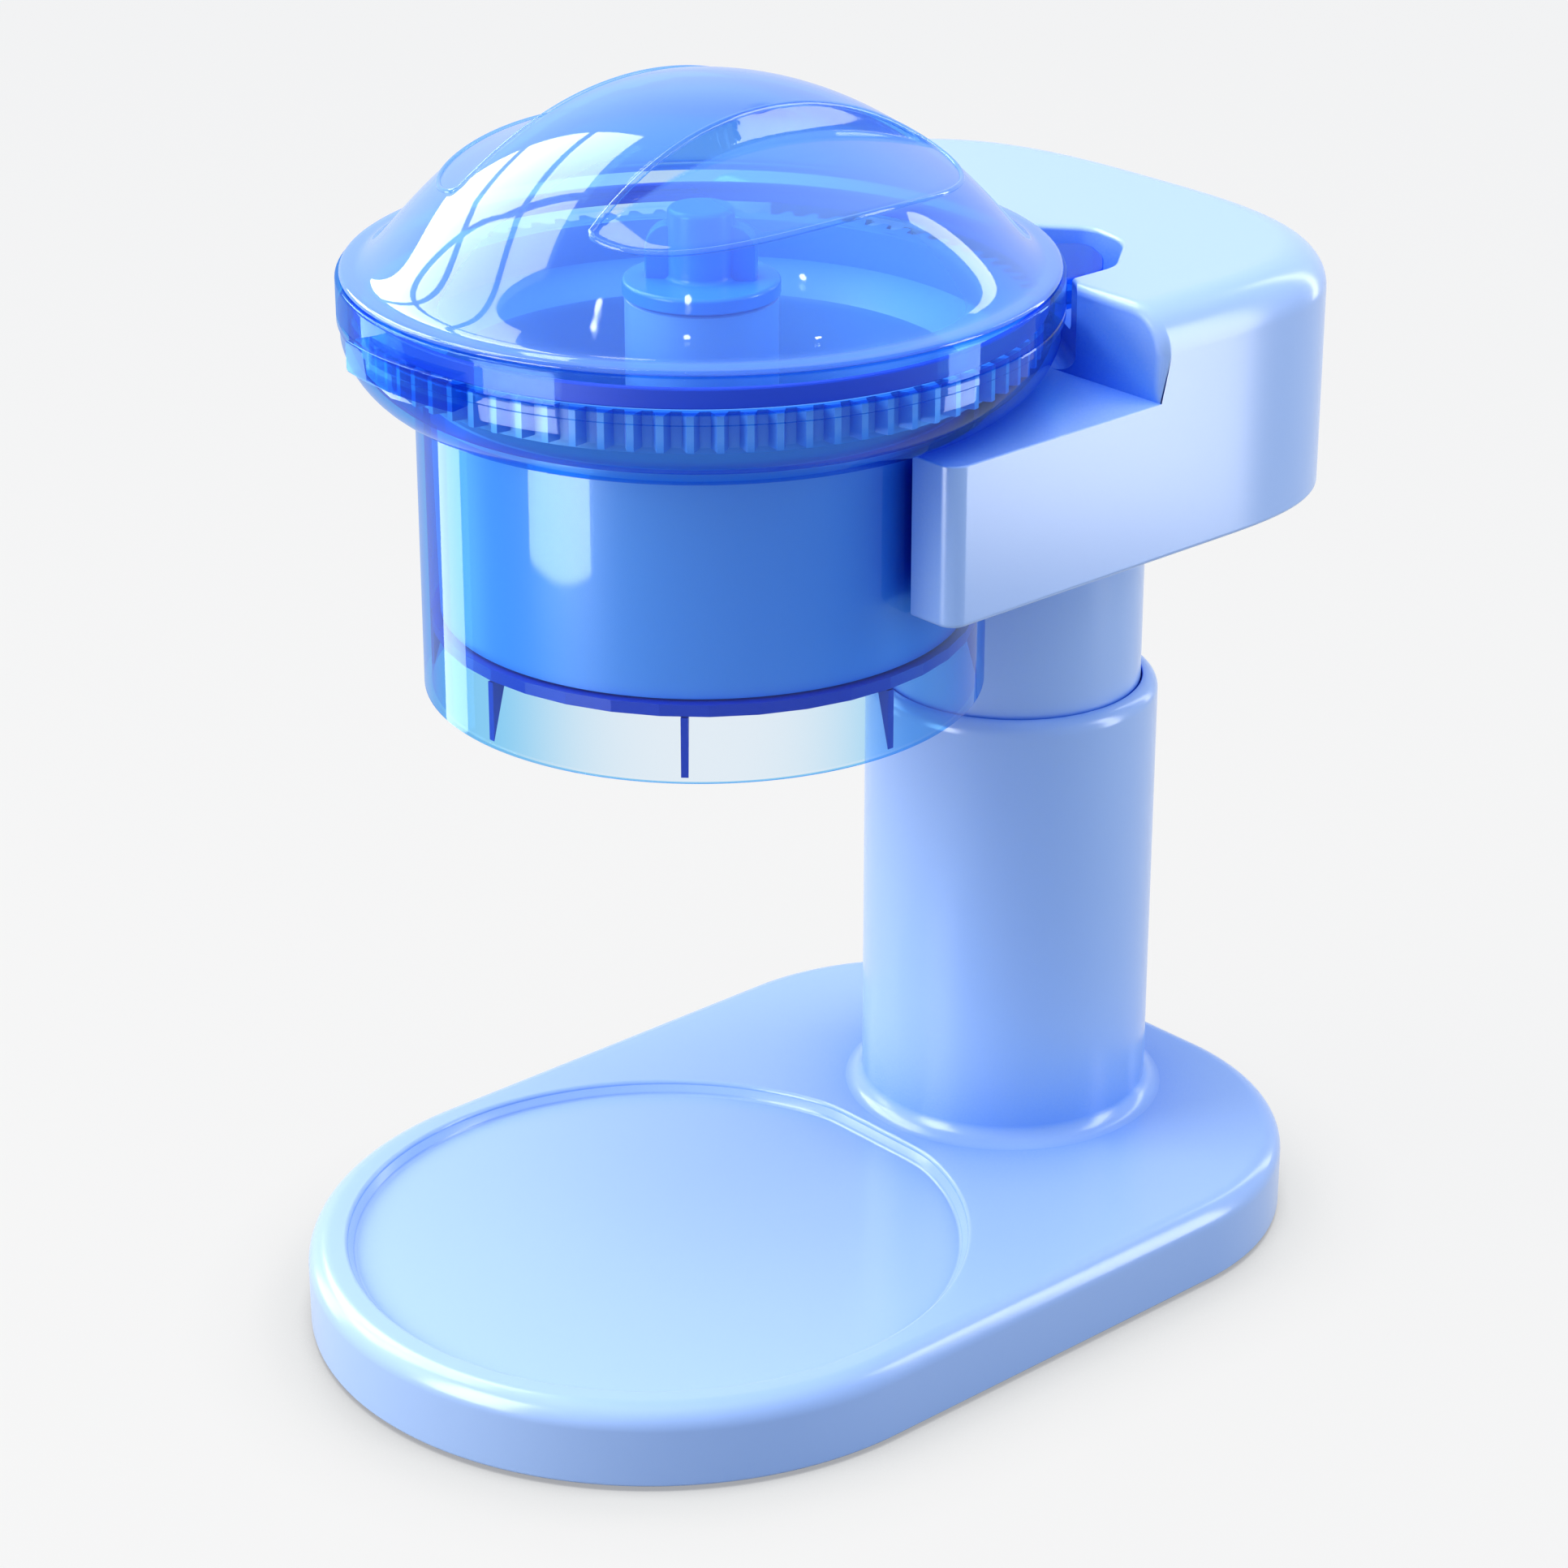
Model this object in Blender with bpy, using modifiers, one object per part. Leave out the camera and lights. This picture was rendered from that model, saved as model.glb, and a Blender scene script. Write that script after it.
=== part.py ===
"""Snow cone machine: tray base with a telescoping column, a U-shaped motor head, a clear
lift-off hopper with a turning ice drum over a blade, and a clear domed lid.

Metres, +Z up. The tray is at the front (-Y) and the column at the back (+Y). The origin is the
middle of the base on the surface that the machine stands on.
"""
import math

import bmesh
import bpy
from mathutils import Matrix, Vector

# Clearances between pieces
SEAT = 0.0003
SLIDE_FIT = 0.0004
PRESS_GAP = 0.0003

# Base, tray and feet
BASE_WIDTH = 0.183
BASE_HEIGHT = 0.0216
BASE_REAR_RADIUS = 0.070
BASE_EDGE = 0.006
BASE_WALL = 0.0030
FOOT_STAND = 0.0012
FOOT_RADIUS = 0.0095
FOOT_SINK = 0.0018
TRAY_RADIUS = 0.0812
TRAY_FLAT = 0.0791
TRAY_DEPTH = 0.0036
TRAY_DRAFT = 0.0022
COVER_PLATE = 0.0026

# Column
COLUMN_FROM_HOPPER = 0.1092
COLUMN_TO_REAR = 0.0577
SLEEVE_RADIUS = 0.0393
SLEEVE_TOP = 0.1457
SLEEVE_LIP = 0.0040
SLEEVE_FOOT = 0.0048
NECK_RADIUS = 0.0346
NECK_BORE = 0.0306
NECK_IN_SLEEVE = 0.045
NECK_FLANGE = 0.0026
NECK_FLANGE_REACH = 0.0040
SLEEVE_MOUTH = 0.0040
SLEEVE_BUSH_WALL = 0.0015
SLEEVE_BUSH_HEIGHT = 0.026
GLIDE_HEIGHT = 0.012
GLIDE_STEP = 0.0014

# Motor head
HEAD_BOTTOM = 0.2099
HEAD_LEDGE = 0.2504
HEAD_TOP = 0.2734
HEAD_WIDTH = 0.170
HEAD_FRONT = 0.0030
HEAD_STEP = 0.0725
HEAD_ROUND_START = 0.095
HEAD_ROUND_LENGTH = 0.0695
HEAD_TOP_EDGE = 0.011
HEAD_CORNER = 0.0045
HEAD_WALL = 0.0026

# Hopper and drum, turned about the hopper axis
HOPPER_BEHIND_TRAY = 0.0176
DRUM_RADIUS = 0.0700
HOPPER_WALL = 0.0020
CRADLE_RADIUS = DRUM_RADIUS + 0.0012
HOPPER_BOTTOM = 0.1749
FLANGE_SHOULDER = 0.2664
RIM_RADIUS = 0.0880
FLANGE_RADIUS = RIM_RADIUS - 0.0008
CRADLE_UPPER_RADIUS = RIM_RADIUS + 0.0035
RIM_HEIGHT = 0.0023
RIM_TOP = 0.2725
GUSSETS = 8
GUSSET_WIDTH = 0.0018
GUSSET_REACH = 0.0040
BLADE_FLOOR_TOP = 0.1942
BLADE_FLOOR = 0.0030
LINER_RADIUS = DRUM_RADIUS - 0.0036
LINER_WALL = 0.0018
LINER_TAPER = 0.0010

# Drive gears
RING_TEETH = 76
RING_PITCH_RADIUS = RIM_RADIUS - 0.0068
RING_BOTTOM = 0.2620
RING_HEIGHT = 0.0087
RING_BORE = RING_PITCH_RADIUS - 0.0050
PINION_TEETH = 12
PINION_ANGLE = math.radians(-14.0)
PINION_HEIGHT = 0.0078
TOOTH_SHARE = 0.40
WHEEL_TEETH = 24
MOTOR_TEETH = 8
MOTOR_MODULE = 0.0015
GEAR_WIDTH = 0.0055
MOTOR_SIDE_ANGLE = math.radians(62.0)
SHAFT_RADIUS = 0.0030
BUSH_RADIUS = 0.0058
MOTOR_RADIUS = 0.0180
MOTOR_LENGTH = 0.040
MOTOR_BOSS = 0.0048
MOTOR_SHAFT = 0.0015
BRACKET_PLATE = 0.0024
BRACKET_REACH = 0.050
BRACKET_HALF_WIDTH = 0.0245
BRACKET_EAR = 0.0075
LEG_RADIUS = 0.0036

# Ice pusher and its knob
POST_RADIUS = 0.0187
POST_TOP = 0.2738
POST_WALL = 0.0024
PADDLES = 3
PADDLE_WIDTH = 0.0045
PADDLE_HEIGHT = 0.040
KNOB_RADIUS = 0.0193
KNOB_DISC = 0.0039
KNOB_HEIGHT = 0.0214
KNOB_BOSS_RADIUS = 0.0082
KNOB_WING_REACH = 0.0135
KNOB_WING_WIDTH = 0.0060
PIVOT_RADIUS = 0.0040
PIVOT_HEIGHT = 0.020

# Blade
BLADE_LENGTH = 0.044
BLADE_WIDTH = 0.0135
BLADE_THICKNESS = 0.0014
BLADE_ANGLE = math.radians(20.0)
BLADE_SLOT = 0.0060

# Lid
LID_BAND_TOP = 0.2812
LID_BAND_WALL = 0.0036
SEAL_HEIGHT = 0.0048
DOME_RADIUS = RIM_RADIUS - 0.0055
DOME_RISE = 0.0431
DOME_POWER = 2.17
DOME_WALL = 0.0022
DOME_BRIM = RIM_RADIUS - 0.0010
SCOOP_INNER = 0.0240
SCOOP_FLOOR = 0.0338
SCOOP_SLOPE = 0.316
SCOOP_CROWN = 4.04
SCOOP_WALL_SLOPE = 2.9
TAB_REACH = 0.0060
TAB_TOP = 0.2772
TAB_HEIGHT = 0.0080
TAB_HALF_ANGLE = math.radians(12.2)
KEY_ANGLE = math.radians(18.5)
PLUNGER_REACH = RIM_RADIUS + 0.0105
KEY_RISER_HALF_ANGLE = math.radians(8.2)
KEY_TOP = 0.2712
KEY_HEIGHT = 0.0080
NOTCH_FLOOR = 0.2596

# Interlock, socket and screws
PLUNGER_RADIUS = 0.0030
PLUNGER_FLANGE = 0.0040
SWITCH_SIZE = (0.0200, 0.0064, 0.0104)
SOCKET_RADIUS = 0.0042
SCREW_HEAD_RADIUS = 0.0030
SCREW_RADIUS = 0.0014
SCREW_BOSS = 0.0042

# Facet counts
ROUND = 36
ROUND_COLUMN = 30
MEDIUM = 16
SMALL = 12
TINY = 8

BASE_LENGTH = BASE_WIDTH / 2 + HOPPER_BEHIND_TRAY + COLUMN_FROM_HOPPER + COLUMN_TO_REAR
TRAY_Y = BASE_WIDTH / 2 - BASE_LENGTH / 2
HOPPER_Y = TRAY_Y + HOPPER_BEHIND_TRAY
COLUMN_Y = HOPPER_Y + COLUMN_FROM_HOPPER
BASE_TOP = FOOT_STAND + BASE_HEIGHT
ABOVE_HEAD = HEAD_TOP + 0.03
BELOW_HEAD = HEAD_BOTTOM - 0.02
TRAY_FLOOR = BASE_TOP - TRAY_DEPTH
HOPPER_AXIS = Vector((0.0, HOPPER_Y, 0.0))
COLUMN_AXIS = Vector((0.0, COLUMN_Y, 0.0))


def fresh_scene():
    for item in list(bpy.data.objects):
        bpy.data.objects.remove(item, do_unlink=True)
    machine = bpy.data.collections.new("snow_cone_machine")
    tools = bpy.data.collections.new("cutters")
    bpy.context.scene.collection.children.link(machine)
    bpy.context.scene.collection.children.link(tools)
    return machine, tools


PARTS, CUTTERS = fresh_scene()


def finish(name, colour, roughness, metallic=0.0, alpha=1.0):
    surface = bpy.data.materials.new(name)
    surface.use_nodes = True
    shader = surface.node_tree.nodes["Principled BSDF"]
    shader.inputs["Base Color"].default_value = (*colour, 1.0)
    shader.inputs["Roughness"].default_value = roughness
    shader.inputs["Metallic"].default_value = metallic
    shader.inputs["Alpha"].default_value = alpha
    return surface


SHELL_BLUE = finish("shell_blue", (0.42, 0.66, 0.93), 0.32)
DRUM_BLUE = finish("drum_blue", (0.38, 0.62, 0.92), 0.35)
CLEAR_BLUE = finish("clear_blue", (0.30, 0.48, 0.95), 0.08, alpha=0.4)
KNOB_BLUE = finish("knob_blue", (0.10, 0.36, 0.95), 0.30)
FLOOR_BLUE = finish("floor_blue", (0.02, 0.05, 0.60), 0.30)
SEAL_RUBBER = finish("seal_rubber", (0.02, 0.06, 0.65), 0.55)
FOOT_RUBBER = finish("foot_rubber", (0.20, 0.22, 0.26), 0.80)
STEEL = finish("steel", (0.62, 0.63, 0.65), 0.28, 1.0)
MOTOR_STEEL = finish("motor_steel", (0.45, 0.46, 0.48), 0.40, 1.0)
BRASS = finish("brass", (0.72, 0.56, 0.28), 0.35, 1.0)
NYLON = finish("nylon", (0.85, 0.85, 0.82), 0.50)
BLACK_PLASTIC = finish("black_plastic", (0.03, 0.03, 0.035), 0.45)


def add_part(name, mesh, surface, place=(0.0, 0.0, 0.0), smooth=True):
    part = bpy.data.objects.new(name, mesh)
    part.location = place
    PARTS.objects.link(part)
    mesh.materials.append(surface)
    if smooth:
        mesh.shade_smooth()
        mesh.set_sharp_from_angle(angle=math.radians(35.0))
    return part


def as_cutter(part):
    """Turn a modelled solid into a guide that only cuts or adds to others."""
    PARTS.objects.unlink(part)
    CUTTERS.objects.link(part)
    part.hide_render = True
    part.display_type = "WIRE"
    return part


def combine(part, tool, operation):
    step = part.modifiers.new(tool.name, "BOOLEAN")
    step.operation = operation
    step.solver = "EXACT"
    step.object = tool
    return part


def cut(part, *tools):
    for tool in tools:
        combine(part, tool, "DIFFERENCE")
    return part


def fuse(part, *tools):
    for tool in tools:
        combine(part, tool, "UNION")
    return part


def mesh_from(bm, name):
    bmesh.ops.recalc_face_normals(bm, faces=bm.faces)
    if bm.calc_volume(signed=True) < 0:
        bmesh.ops.reverse_faces(bm, faces=bm.faces)
    mesh = bpy.data.meshes.new(name)
    bm.to_mesh(mesh)
    bm.free()
    return mesh


def turned(name, profile, surface, place, steps=ROUND, closed=True):
    """Turn a profile of (radius, height) points, outer side first, about the local Z axis."""
    mesh = bpy.data.meshes.new(name)
    count = len(profile)
    links = [(i, i + 1) for i in range(count - 1)]
    if closed:
        links.append((count - 1, 0))
    mesh.from_pydata([(r, 0.0, z) for r, z in profile], links, [])
    part = add_part(name, mesh, surface, place, smooth=False)
    spin = part.modifiers.new("Turn", "SCREW")
    spin.steps = steps
    spin.render_steps = steps
    spin.use_merge_vertices = True
    spin.merge_threshold = 0.00005
    spin.use_smooth_shade = True
    return part


def cylinder(name, radius, low, high, surface, place, steps=SMALL):
    """A plain round bar standing on Z between two heights."""
    bm = bmesh.new()
    bmesh.ops.create_cone(bm, cap_ends=True, segments=steps, radius1=radius, radius2=radius,
                          depth=high - low)
    bmesh.ops.translate(bm, verts=bm.verts, vec=(0.0, 0.0, (low + high) / 2))
    return add_part(name, mesh_from(bm, name), surface, place)


def tube(name, outer, inner, low, high, surface, place, steps=MEDIUM):
    profile = [(outer, high), (outer, low), (inner, low), (inner, high)]
    return turned(name, profile, surface, place, steps)


def box(name, size, middle, surface, turn=0.0):
    bm = bmesh.new()
    bmesh.ops.create_cube(bm, size=1.0)
    bmesh.ops.scale(bm, verts=bm.verts, vec=size)
    part = add_part(name, mesh_from(bm, name), surface, middle, smooth=False)
    part.rotation_euler = (0.0, 0.0, turn)
    return part


def slab(name, outline, low, high, surface, place=(0.0, 0.0, 0.0), top_edge=0.0, steps=3):
    """Fill a flat outline, thicken it between two heights and round its upper edge."""
    curve = bpy.data.curves.new(name, "CURVE")
    curve.dimensions = "2D"
    curve.fill_mode = "BOTH"
    curve.extrude = (high - low) / 2
    spline = curve.splines.new("POLY")
    spline.points.add(len(outline) - 1)
    spline.use_cyclic_u = True
    for point, (x, y) in zip(spline.points, outline):
        point.co = (x, y, 0.0, 1.0)
    drawn = bpy.data.objects.new(name, curve)
    PARTS.objects.link(drawn)
    graph = bpy.context.evaluated_depsgraph_get()
    filled = bpy.data.meshes.new_from_object(drawn.evaluated_get(graph))
    bpy.data.objects.remove(drawn)
    bm = bmesh.new()
    bm.from_mesh(filled)
    bmesh.ops.remove_doubles(bm, verts=bm.verts, dist=0.00001)
    bmesh.ops.dissolve_limit(bm, angle_limit=0.001, verts=bm.verts, edges=bm.edges)
    bmesh.ops.translate(bm, verts=bm.verts, vec=(0.0, 0.0, (low + high) / 2))
    if top_edge:
        edges = [edge for edge in bm.edges if all(vert.co.z > high - 1e-6 for vert in edge.verts)]
        bmesh.ops.bevel(bm, geom=edges, offset=top_edge, offset_type="OFFSET", segments=steps,
                        profile=0.5, affect="EDGES", clamp_overlap=True)
    return add_part(name, mesh_from(bm, name), surface, place)


def upright(name, outline, width, surface, place, swing):
    """Stand an outline of (reach, height) points on edge, turned about Z by an angle."""
    part = slab(name, outline, -width / 2, width / 2, surface, place)
    part.rotation_euler = (math.pi / 2, 0.0, swing)
    return part


def arc(middle, radius, start, end, count):
    """Points on an arc from one angle to another, measured from +X, ends included."""
    angles = [start + (end - start) * i / count for i in range(count + 1)]
    return [(middle[0] + radius * math.cos(a), middle[1] + radius * math.sin(a)) for a in angles]


def base_outline(inset=0.0):
    """Half-round front about the tray, straight sides and large rounded rear corners."""
    half = BASE_WIDTH / 2 - inset
    corner = BASE_REAR_RADIUS - inset
    corner_x = BASE_WIDTH / 2 - BASE_REAR_RADIUS
    corner_y = BASE_LENGTH / 2 - BASE_REAR_RADIUS
    front = arc((0.0, TRAY_Y), half, math.pi, 2 * math.pi, 20)
    right = arc((corner_x, corner_y), corner, 0.0, math.pi / 2, 6)
    left = arc((-corner_x, corner_y), corner, math.pi / 2, math.pi, 6)
    return front + right + left


def tray_outline(inset=0.0):
    """Round recess with a flat across its rear."""
    radius = TRAY_RADIUS - inset
    flat = TRAY_FLAT - inset
    swing = math.acos(flat / radius)
    return arc((0.0, TRAY_Y), radius, math.pi / 2 + swing, 2.5 * math.pi - swing, 34)


def head_outline(inset=0.0):
    """Straight cheeks with rounded front corners, then a soft superellipse round the back."""
    half = HEAD_WIDTH / 2 - inset
    length = HEAD_ROUND_LENGTH - inset
    corner = HEAD_CORNER - inset * 0.6
    front = HOPPER_Y + HEAD_FRONT + inset
    start = HOPPER_Y + HEAD_ROUND_START
    points = arc((-half + corner, front + corner), corner, math.pi, 1.5 * math.pi, 3)
    points += arc((half - corner, front + corner), corner, -math.pi / 2, 0.0, 3)
    for i in range(17):
        swing = math.pi * i / 16
        c, s = math.cos(swing), math.sin(swing)
        points.append((half * math.copysign(abs(c) ** (2 / 3), c), start + length * s ** (2 / 3)))
    return points


def about_rim(corners):
    """Corners given as (degrees from +Y, reach beyond the rim, rounding) in plan."""
    points = []
    for degrees, reach, rounding in corners:
        swing = math.radians(degrees)
        radius = RIM_RADIUS + reach
        points.append((radius * math.sin(swing), radius * math.cos(swing), rounding))
    return points


def soften(corners, grow=0.0, steps=4):
    """Round the corners of a clockwise outline after moving its sides outwards by an amount."""
    points = []
    for i, (x, y, rounding) in enumerate(corners):
        here = Vector((x, y))
        before = (Vector(corners[i - 1][:2]) - here).normalized()
        after = (Vector(corners[(i + 1) % len(corners)][:2]) - here).normalized()
        half = before.angle(after) / 2
        bisector = (before + after).normalized()
        convex = before.cross(after) > 0
        here -= bisector * grow / math.sin(half) * (1 if convex else -1)
        if rounding == 0.0:
            points.append((here.x, here.y))
            continue
        radius = rounding + grow
        centre = here + bisector * radius / math.sin(half)
        start = here + before * radius / math.tan(half) - centre
        end = here + after * radius / math.tan(half) - centre
        first = math.atan2(start.y, start.x)
        sweep = (math.atan2(end.y, end.x) - first + math.pi) % (2 * math.pi) - math.pi
        points += arc(centre, radius, first, first + sweep, steps)
    return points


def key_outline():
    """Plan of the lid's key, wider on the side away from the pinion."""
    return soften(about_rim([(8.5, -0.0071, 0.0), (9.1, 0.0037, 0.0), (14.4, 0.0216, 0.0035),
                             (20.2, 0.0196, 0.006), (26.8, 0.0145, 0.006), (30.3, 0.0023, 0.0),
                             (32.0, -0.0049, 0.0)]))


def notch_outline(grow=0.0):
    """Plan of the notch in the head that takes the key; grow widens it."""
    return soften(about_rim([(-2.9, -0.0079, 0.0), (-2.6, 0.0006, 0.0), (12.0, 0.0255, 0.008),
                             (18.8, 0.0266, 0.008), (28.7, 0.0163, 0.010), (35.5, -0.002, 0.0),
                             (36.9, -0.008, 0.0), (15.9, -0.0152, 0.0)]), grow)


def sector_outline(inner, outer, middle, half_angle, count=6):
    """Part of a ring, centred on an angle measured from +X."""
    return (arc((0.0, 0.0), outer, middle - half_angle, middle + half_angle, count)
            + arc((0.0, 0.0), inner, middle + half_angle, middle - half_angle, count))


def gear_outline(teeth, pitch_radius, phase):
    """Straight-flanked teeth, kept short and thin enough to run with clearance."""
    module = 2 * pitch_radius / teeth
    tip = pitch_radius + 0.70 * module
    root = pitch_radius - 0.95 * module
    pitch = 2 * math.pi / teeth
    half = TOOTH_SHARE * pitch / 2
    lean_out = 0.70 * module * math.tan(math.radians(20.0)) / pitch_radius
    lean_in = 0.95 * module * math.tan(math.radians(20.0)) / pitch_radius
    points = []
    for i in range(teeth):
        middle = phase + pitch * i
        for radius, offset in ((root, -half - lean_in), (tip, -half + lean_out),
                               (tip, half - lean_out), (root, half + lean_in)):
            points.append((radius * math.cos(middle + offset), radius * math.sin(middle + offset)))
    return points


def flange_profile(inset, count=5):
    """The hopper flange's bowl, from the drum wall out to its shoulder."""
    rise = FLANGE_SHOULDER - HEAD_LEDGE - SEAT - inset
    points = []
    for i in range(count + 1):
        swing = math.pi / 2 * i / count
        radius = DRUM_RADIUS - inset + (FLANGE_RADIUS - DRUM_RADIUS) * math.sin(swing)
        points.append((radius, FLANGE_SHOULDER - rise * math.cos(swing) ** 1.3))
    return points


def pinion_place():
    module = 2 * RING_PITCH_RADIUS / RING_TEETH
    reach = RING_PITCH_RADIUS + module * PINION_TEETH / 2
    return HOPPER_AXIS + Vector((math.sin(PINION_ANGLE), math.cos(PINION_ANGLE), 0.0)) * reach


def motor_place():
    spread = MOTOR_MODULE * (WHEEL_TEETH + MOTOR_TEETH) / 2
    side = Vector((math.cos(MOTOR_SIDE_ANGLE), math.sin(MOTOR_SIDE_ANGLE), 0.0))
    return pinion_place() + side * spread


PINION_AXIS = pinion_place()
MOTOR_AXIS = motor_place()
PINION_PITCH_RADIUS = RING_PITCH_RADIUS * PINION_TEETH / RING_TEETH
PINION_TIP = PINION_PITCH_RADIUS * (1 + 1.4 / PINION_TEETH)
COVER_TOP = HEAD_BOTTOM + COVER_PLATE
BRACKET_LOW = COVER_TOP + SEAT + NECK_FLANGE + 0.0019
BRACKET_HIGH = BRACKET_LOW + BRACKET_PLATE
GEAR_LOW = BRACKET_HIGH + 0.0012
GEAR_HIGH = GEAR_LOW + GEAR_WIDTH
SHAFT_TOP = RING_BOTTOM + PINION_HEIGHT + 0.0012
WINDOW_RADIUS = PINION_TIP + 0.0015
KEY_DIRECTION = Vector((math.sin(KEY_ANGLE), math.cos(KEY_ANGLE), 0.0))
PLUNGER_PLACE = HOPPER_AXIS + KEY_DIRECTION * PLUNGER_REACH
PLUNGER_SHOULDER = NOTCH_FLOOR - HEAD_WALL - SEAT
PLUNGER_LOW = PLUNGER_SHOULDER - 0.0085
SWITCH_TOP = PLUNGER_LOW - 0.0024
UPPER_BUSH_TOP = HEAD_LEDGE + 0.0005
RING_PHASE = math.atan2(PINION_AXIS.y - HOPPER_Y, PINION_AXIS.x)
HEAD_SIDE = HEAD_WIDTH / 2 - 0.0075
HEAD_SCREWS = [(-0.060, CRADLE_UPPER_RADIUS + HOPPER_Y + 0.0065),
               (0.060, CRADLE_UPPER_RADIUS + HOPPER_Y + 0.0065),
               (-HEAD_SIDE, HOPPER_Y + 0.018), (HEAD_SIDE, HOPPER_Y + 0.018)]
BASE_REAR = BASE_LENGTH / 2
BASE_SIDE = BASE_WIDTH / 2
BASE_SCREWS = [(-BASE_SIDE + 0.0195, BASE_REAR - 0.076), (BASE_SIDE - 0.0195, BASE_REAR - 0.076),
               (-0.050, TRAY_Y - BASE_SIDE + 0.026), (0.050, TRAY_Y - BASE_SIDE + 0.026)]
FEET = [(-0.052, BASE_REAR - 0.030), (0.052, BASE_REAR - 0.030),
        (-BASE_SIDE + 0.0255, TRAY_Y - 0.0155), (BASE_SIDE - 0.0255, TRAY_Y - 0.0155)]
SCREW_HOLE_TOP = FOOT_STAND + 0.0145


def make_base():
    shell = slab("base_shell", base_outline(), FOOT_STAND, BASE_TOP, SHELL_BLUE,
                 top_edge=BASE_EDGE)
    foot = SLEEVE_FOOT
    flare = [(SLEEVE_RADIUS + foot - foot * math.sin(a), BASE_TOP + foot - foot * math.cos(a))
             for a in (math.radians(d) for d in (90, 50, 10))]
    lip = [(SLEEVE_RADIUS - SLEEVE_LIP + SLEEVE_LIP * math.cos(a),
            SLEEVE_TOP - SLEEVE_LIP + SLEEVE_LIP * math.sin(a))
           for a in (math.radians(d) for d in (90, 45, 0))]
    bottom = BASE_TOP - 0.001
    column = turned("sleeve_outside", [(0.0, SLEEVE_TOP)] + lip + flare
                    + [(SLEEVE_RADIUS + foot, bottom), (0.0, bottom)], SHELL_BLUE, COLUMN_AXIS,
                    steps=ROUND_COLUMN, closed=False)
    fuse(shell, as_cutter(column))
    tray = slab("tray_recess", tray_outline(TRAY_DRAFT), TRAY_FLOOR, TRAY_FLOOR + 0.002, SHELL_BLUE)
    tray_upper = [(Vector((x, y - TRAY_Y))).normalized() for x, y in tray_outline()]
    widen(tray, TRAY_FLOOR + 0.001, (TRAY_RADIUS + TRAY_DRAFT * 0.1) / (TRAY_RADIUS - TRAY_DRAFT),
          TRAY_DEPTH + 0.0005, len(tray_upper))
    cut(shell, as_cutter(tray))
    make_base_hollow(shell)
    hole = cylinder("socket_hole", SOCKET_RADIUS + SEAT, -0.006, 0.006, SHELL_BLUE,
                    (0.0, BASE_LENGTH / 2 - 0.003, FOOT_STAND + BASE_HEIGHT / 2), steps=MEDIUM)
    hole.rotation_euler = (math.pi / 2, 0.0, 0.0)
    cut(shell, as_cutter(hole))
    guide = NECK_RADIUS + SLIDE_FIT
    bore = guide + SLEEVE_BUSH_WALL + PRESS_GAP
    mouth = SLEEVE_TOP - SLEEVE_MOUTH
    low = FOOT_STAND + COVER_PLATE + 0.002
    passage = turned("sleeve_bore", [(0.0, SLEEVE_TOP + 0.01), (guide, SLEEVE_TOP + 0.01),
                                     (guide, mouth), (bore, mouth), (bore, low), (0.0, low)],
                     SHELL_BLUE, COLUMN_AXIS, steps=ROUND_COLUMN, closed=False)
    cut(shell, as_cutter(passage))


def widen(part, above, ratio, lift, count):
    """Spread the upper rim of a recess cutter so its wall leans outwards."""
    top = [vert for vert in part.data.vertices if vert.co.z > above]
    for vert in top:
        vert.co.x *= ratio
        vert.co.y = TRAY_Y + (vert.co.y - TRAY_Y) * ratio
        vert.co.z = TRAY_FLOOR + lift
    if len(top) != count:
        raise RuntimeError("tray rim lost points")


def make_base_hollow(shell):
    """Hollow the base from below to an even wall, leaving screw bosses and the tray's floor."""
    roof = BASE_TOP - BASE_WALL
    hollow = slab("base_hollow", base_outline(BASE_WALL), 0.0, roof, SHELL_BLUE,
                  top_edge=BASE_EDGE - BASE_WALL, steps=1)
    keep_tray = slab("keep_tray", tray_outline(-BASE_WALL), TRAY_FLOOR - BASE_WALL + 0.0004, 0.03,
                     SHELL_BLUE)
    cut(hollow, as_cutter(keep_tray))
    for i, (x, y) in enumerate(BASE_SCREWS):
        boss = cylinder(f"base_boss_{i + 1}", SCREW_BOSS, FOOT_STAND + COVER_PLATE + 2 * SEAT, 0.03,
                        SHELL_BLUE, (x, y, 0.0))
        cut(hollow, as_cutter(boss))
    cut(shell, as_cutter(hollow))
    for i, (x, y) in enumerate(BASE_SCREWS):
        pilot = cylinder(f"base_pilot_{i + 1}", SCREW_RADIUS + SEAT, 0.0, SCREW_HOLE_TOP,
                         SHELL_BLUE, (x, y, 0.0), steps=TINY)
        cut(shell, as_cutter(pilot))


def countersunk_screw(name, x, y, low, length, head=SCREW_HEAD_RADIUS):
    """Screw with a flat head at the bottom and its shank pointing up."""
    profile = [(0.0, length), (SCREW_RADIUS, length), (SCREW_RADIUS, 0.0016), (head, 0.0),
               (0.0, 0.0)]
    return turned(name, profile, STEEL, (x, y, low), steps=TINY, closed=False)


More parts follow.
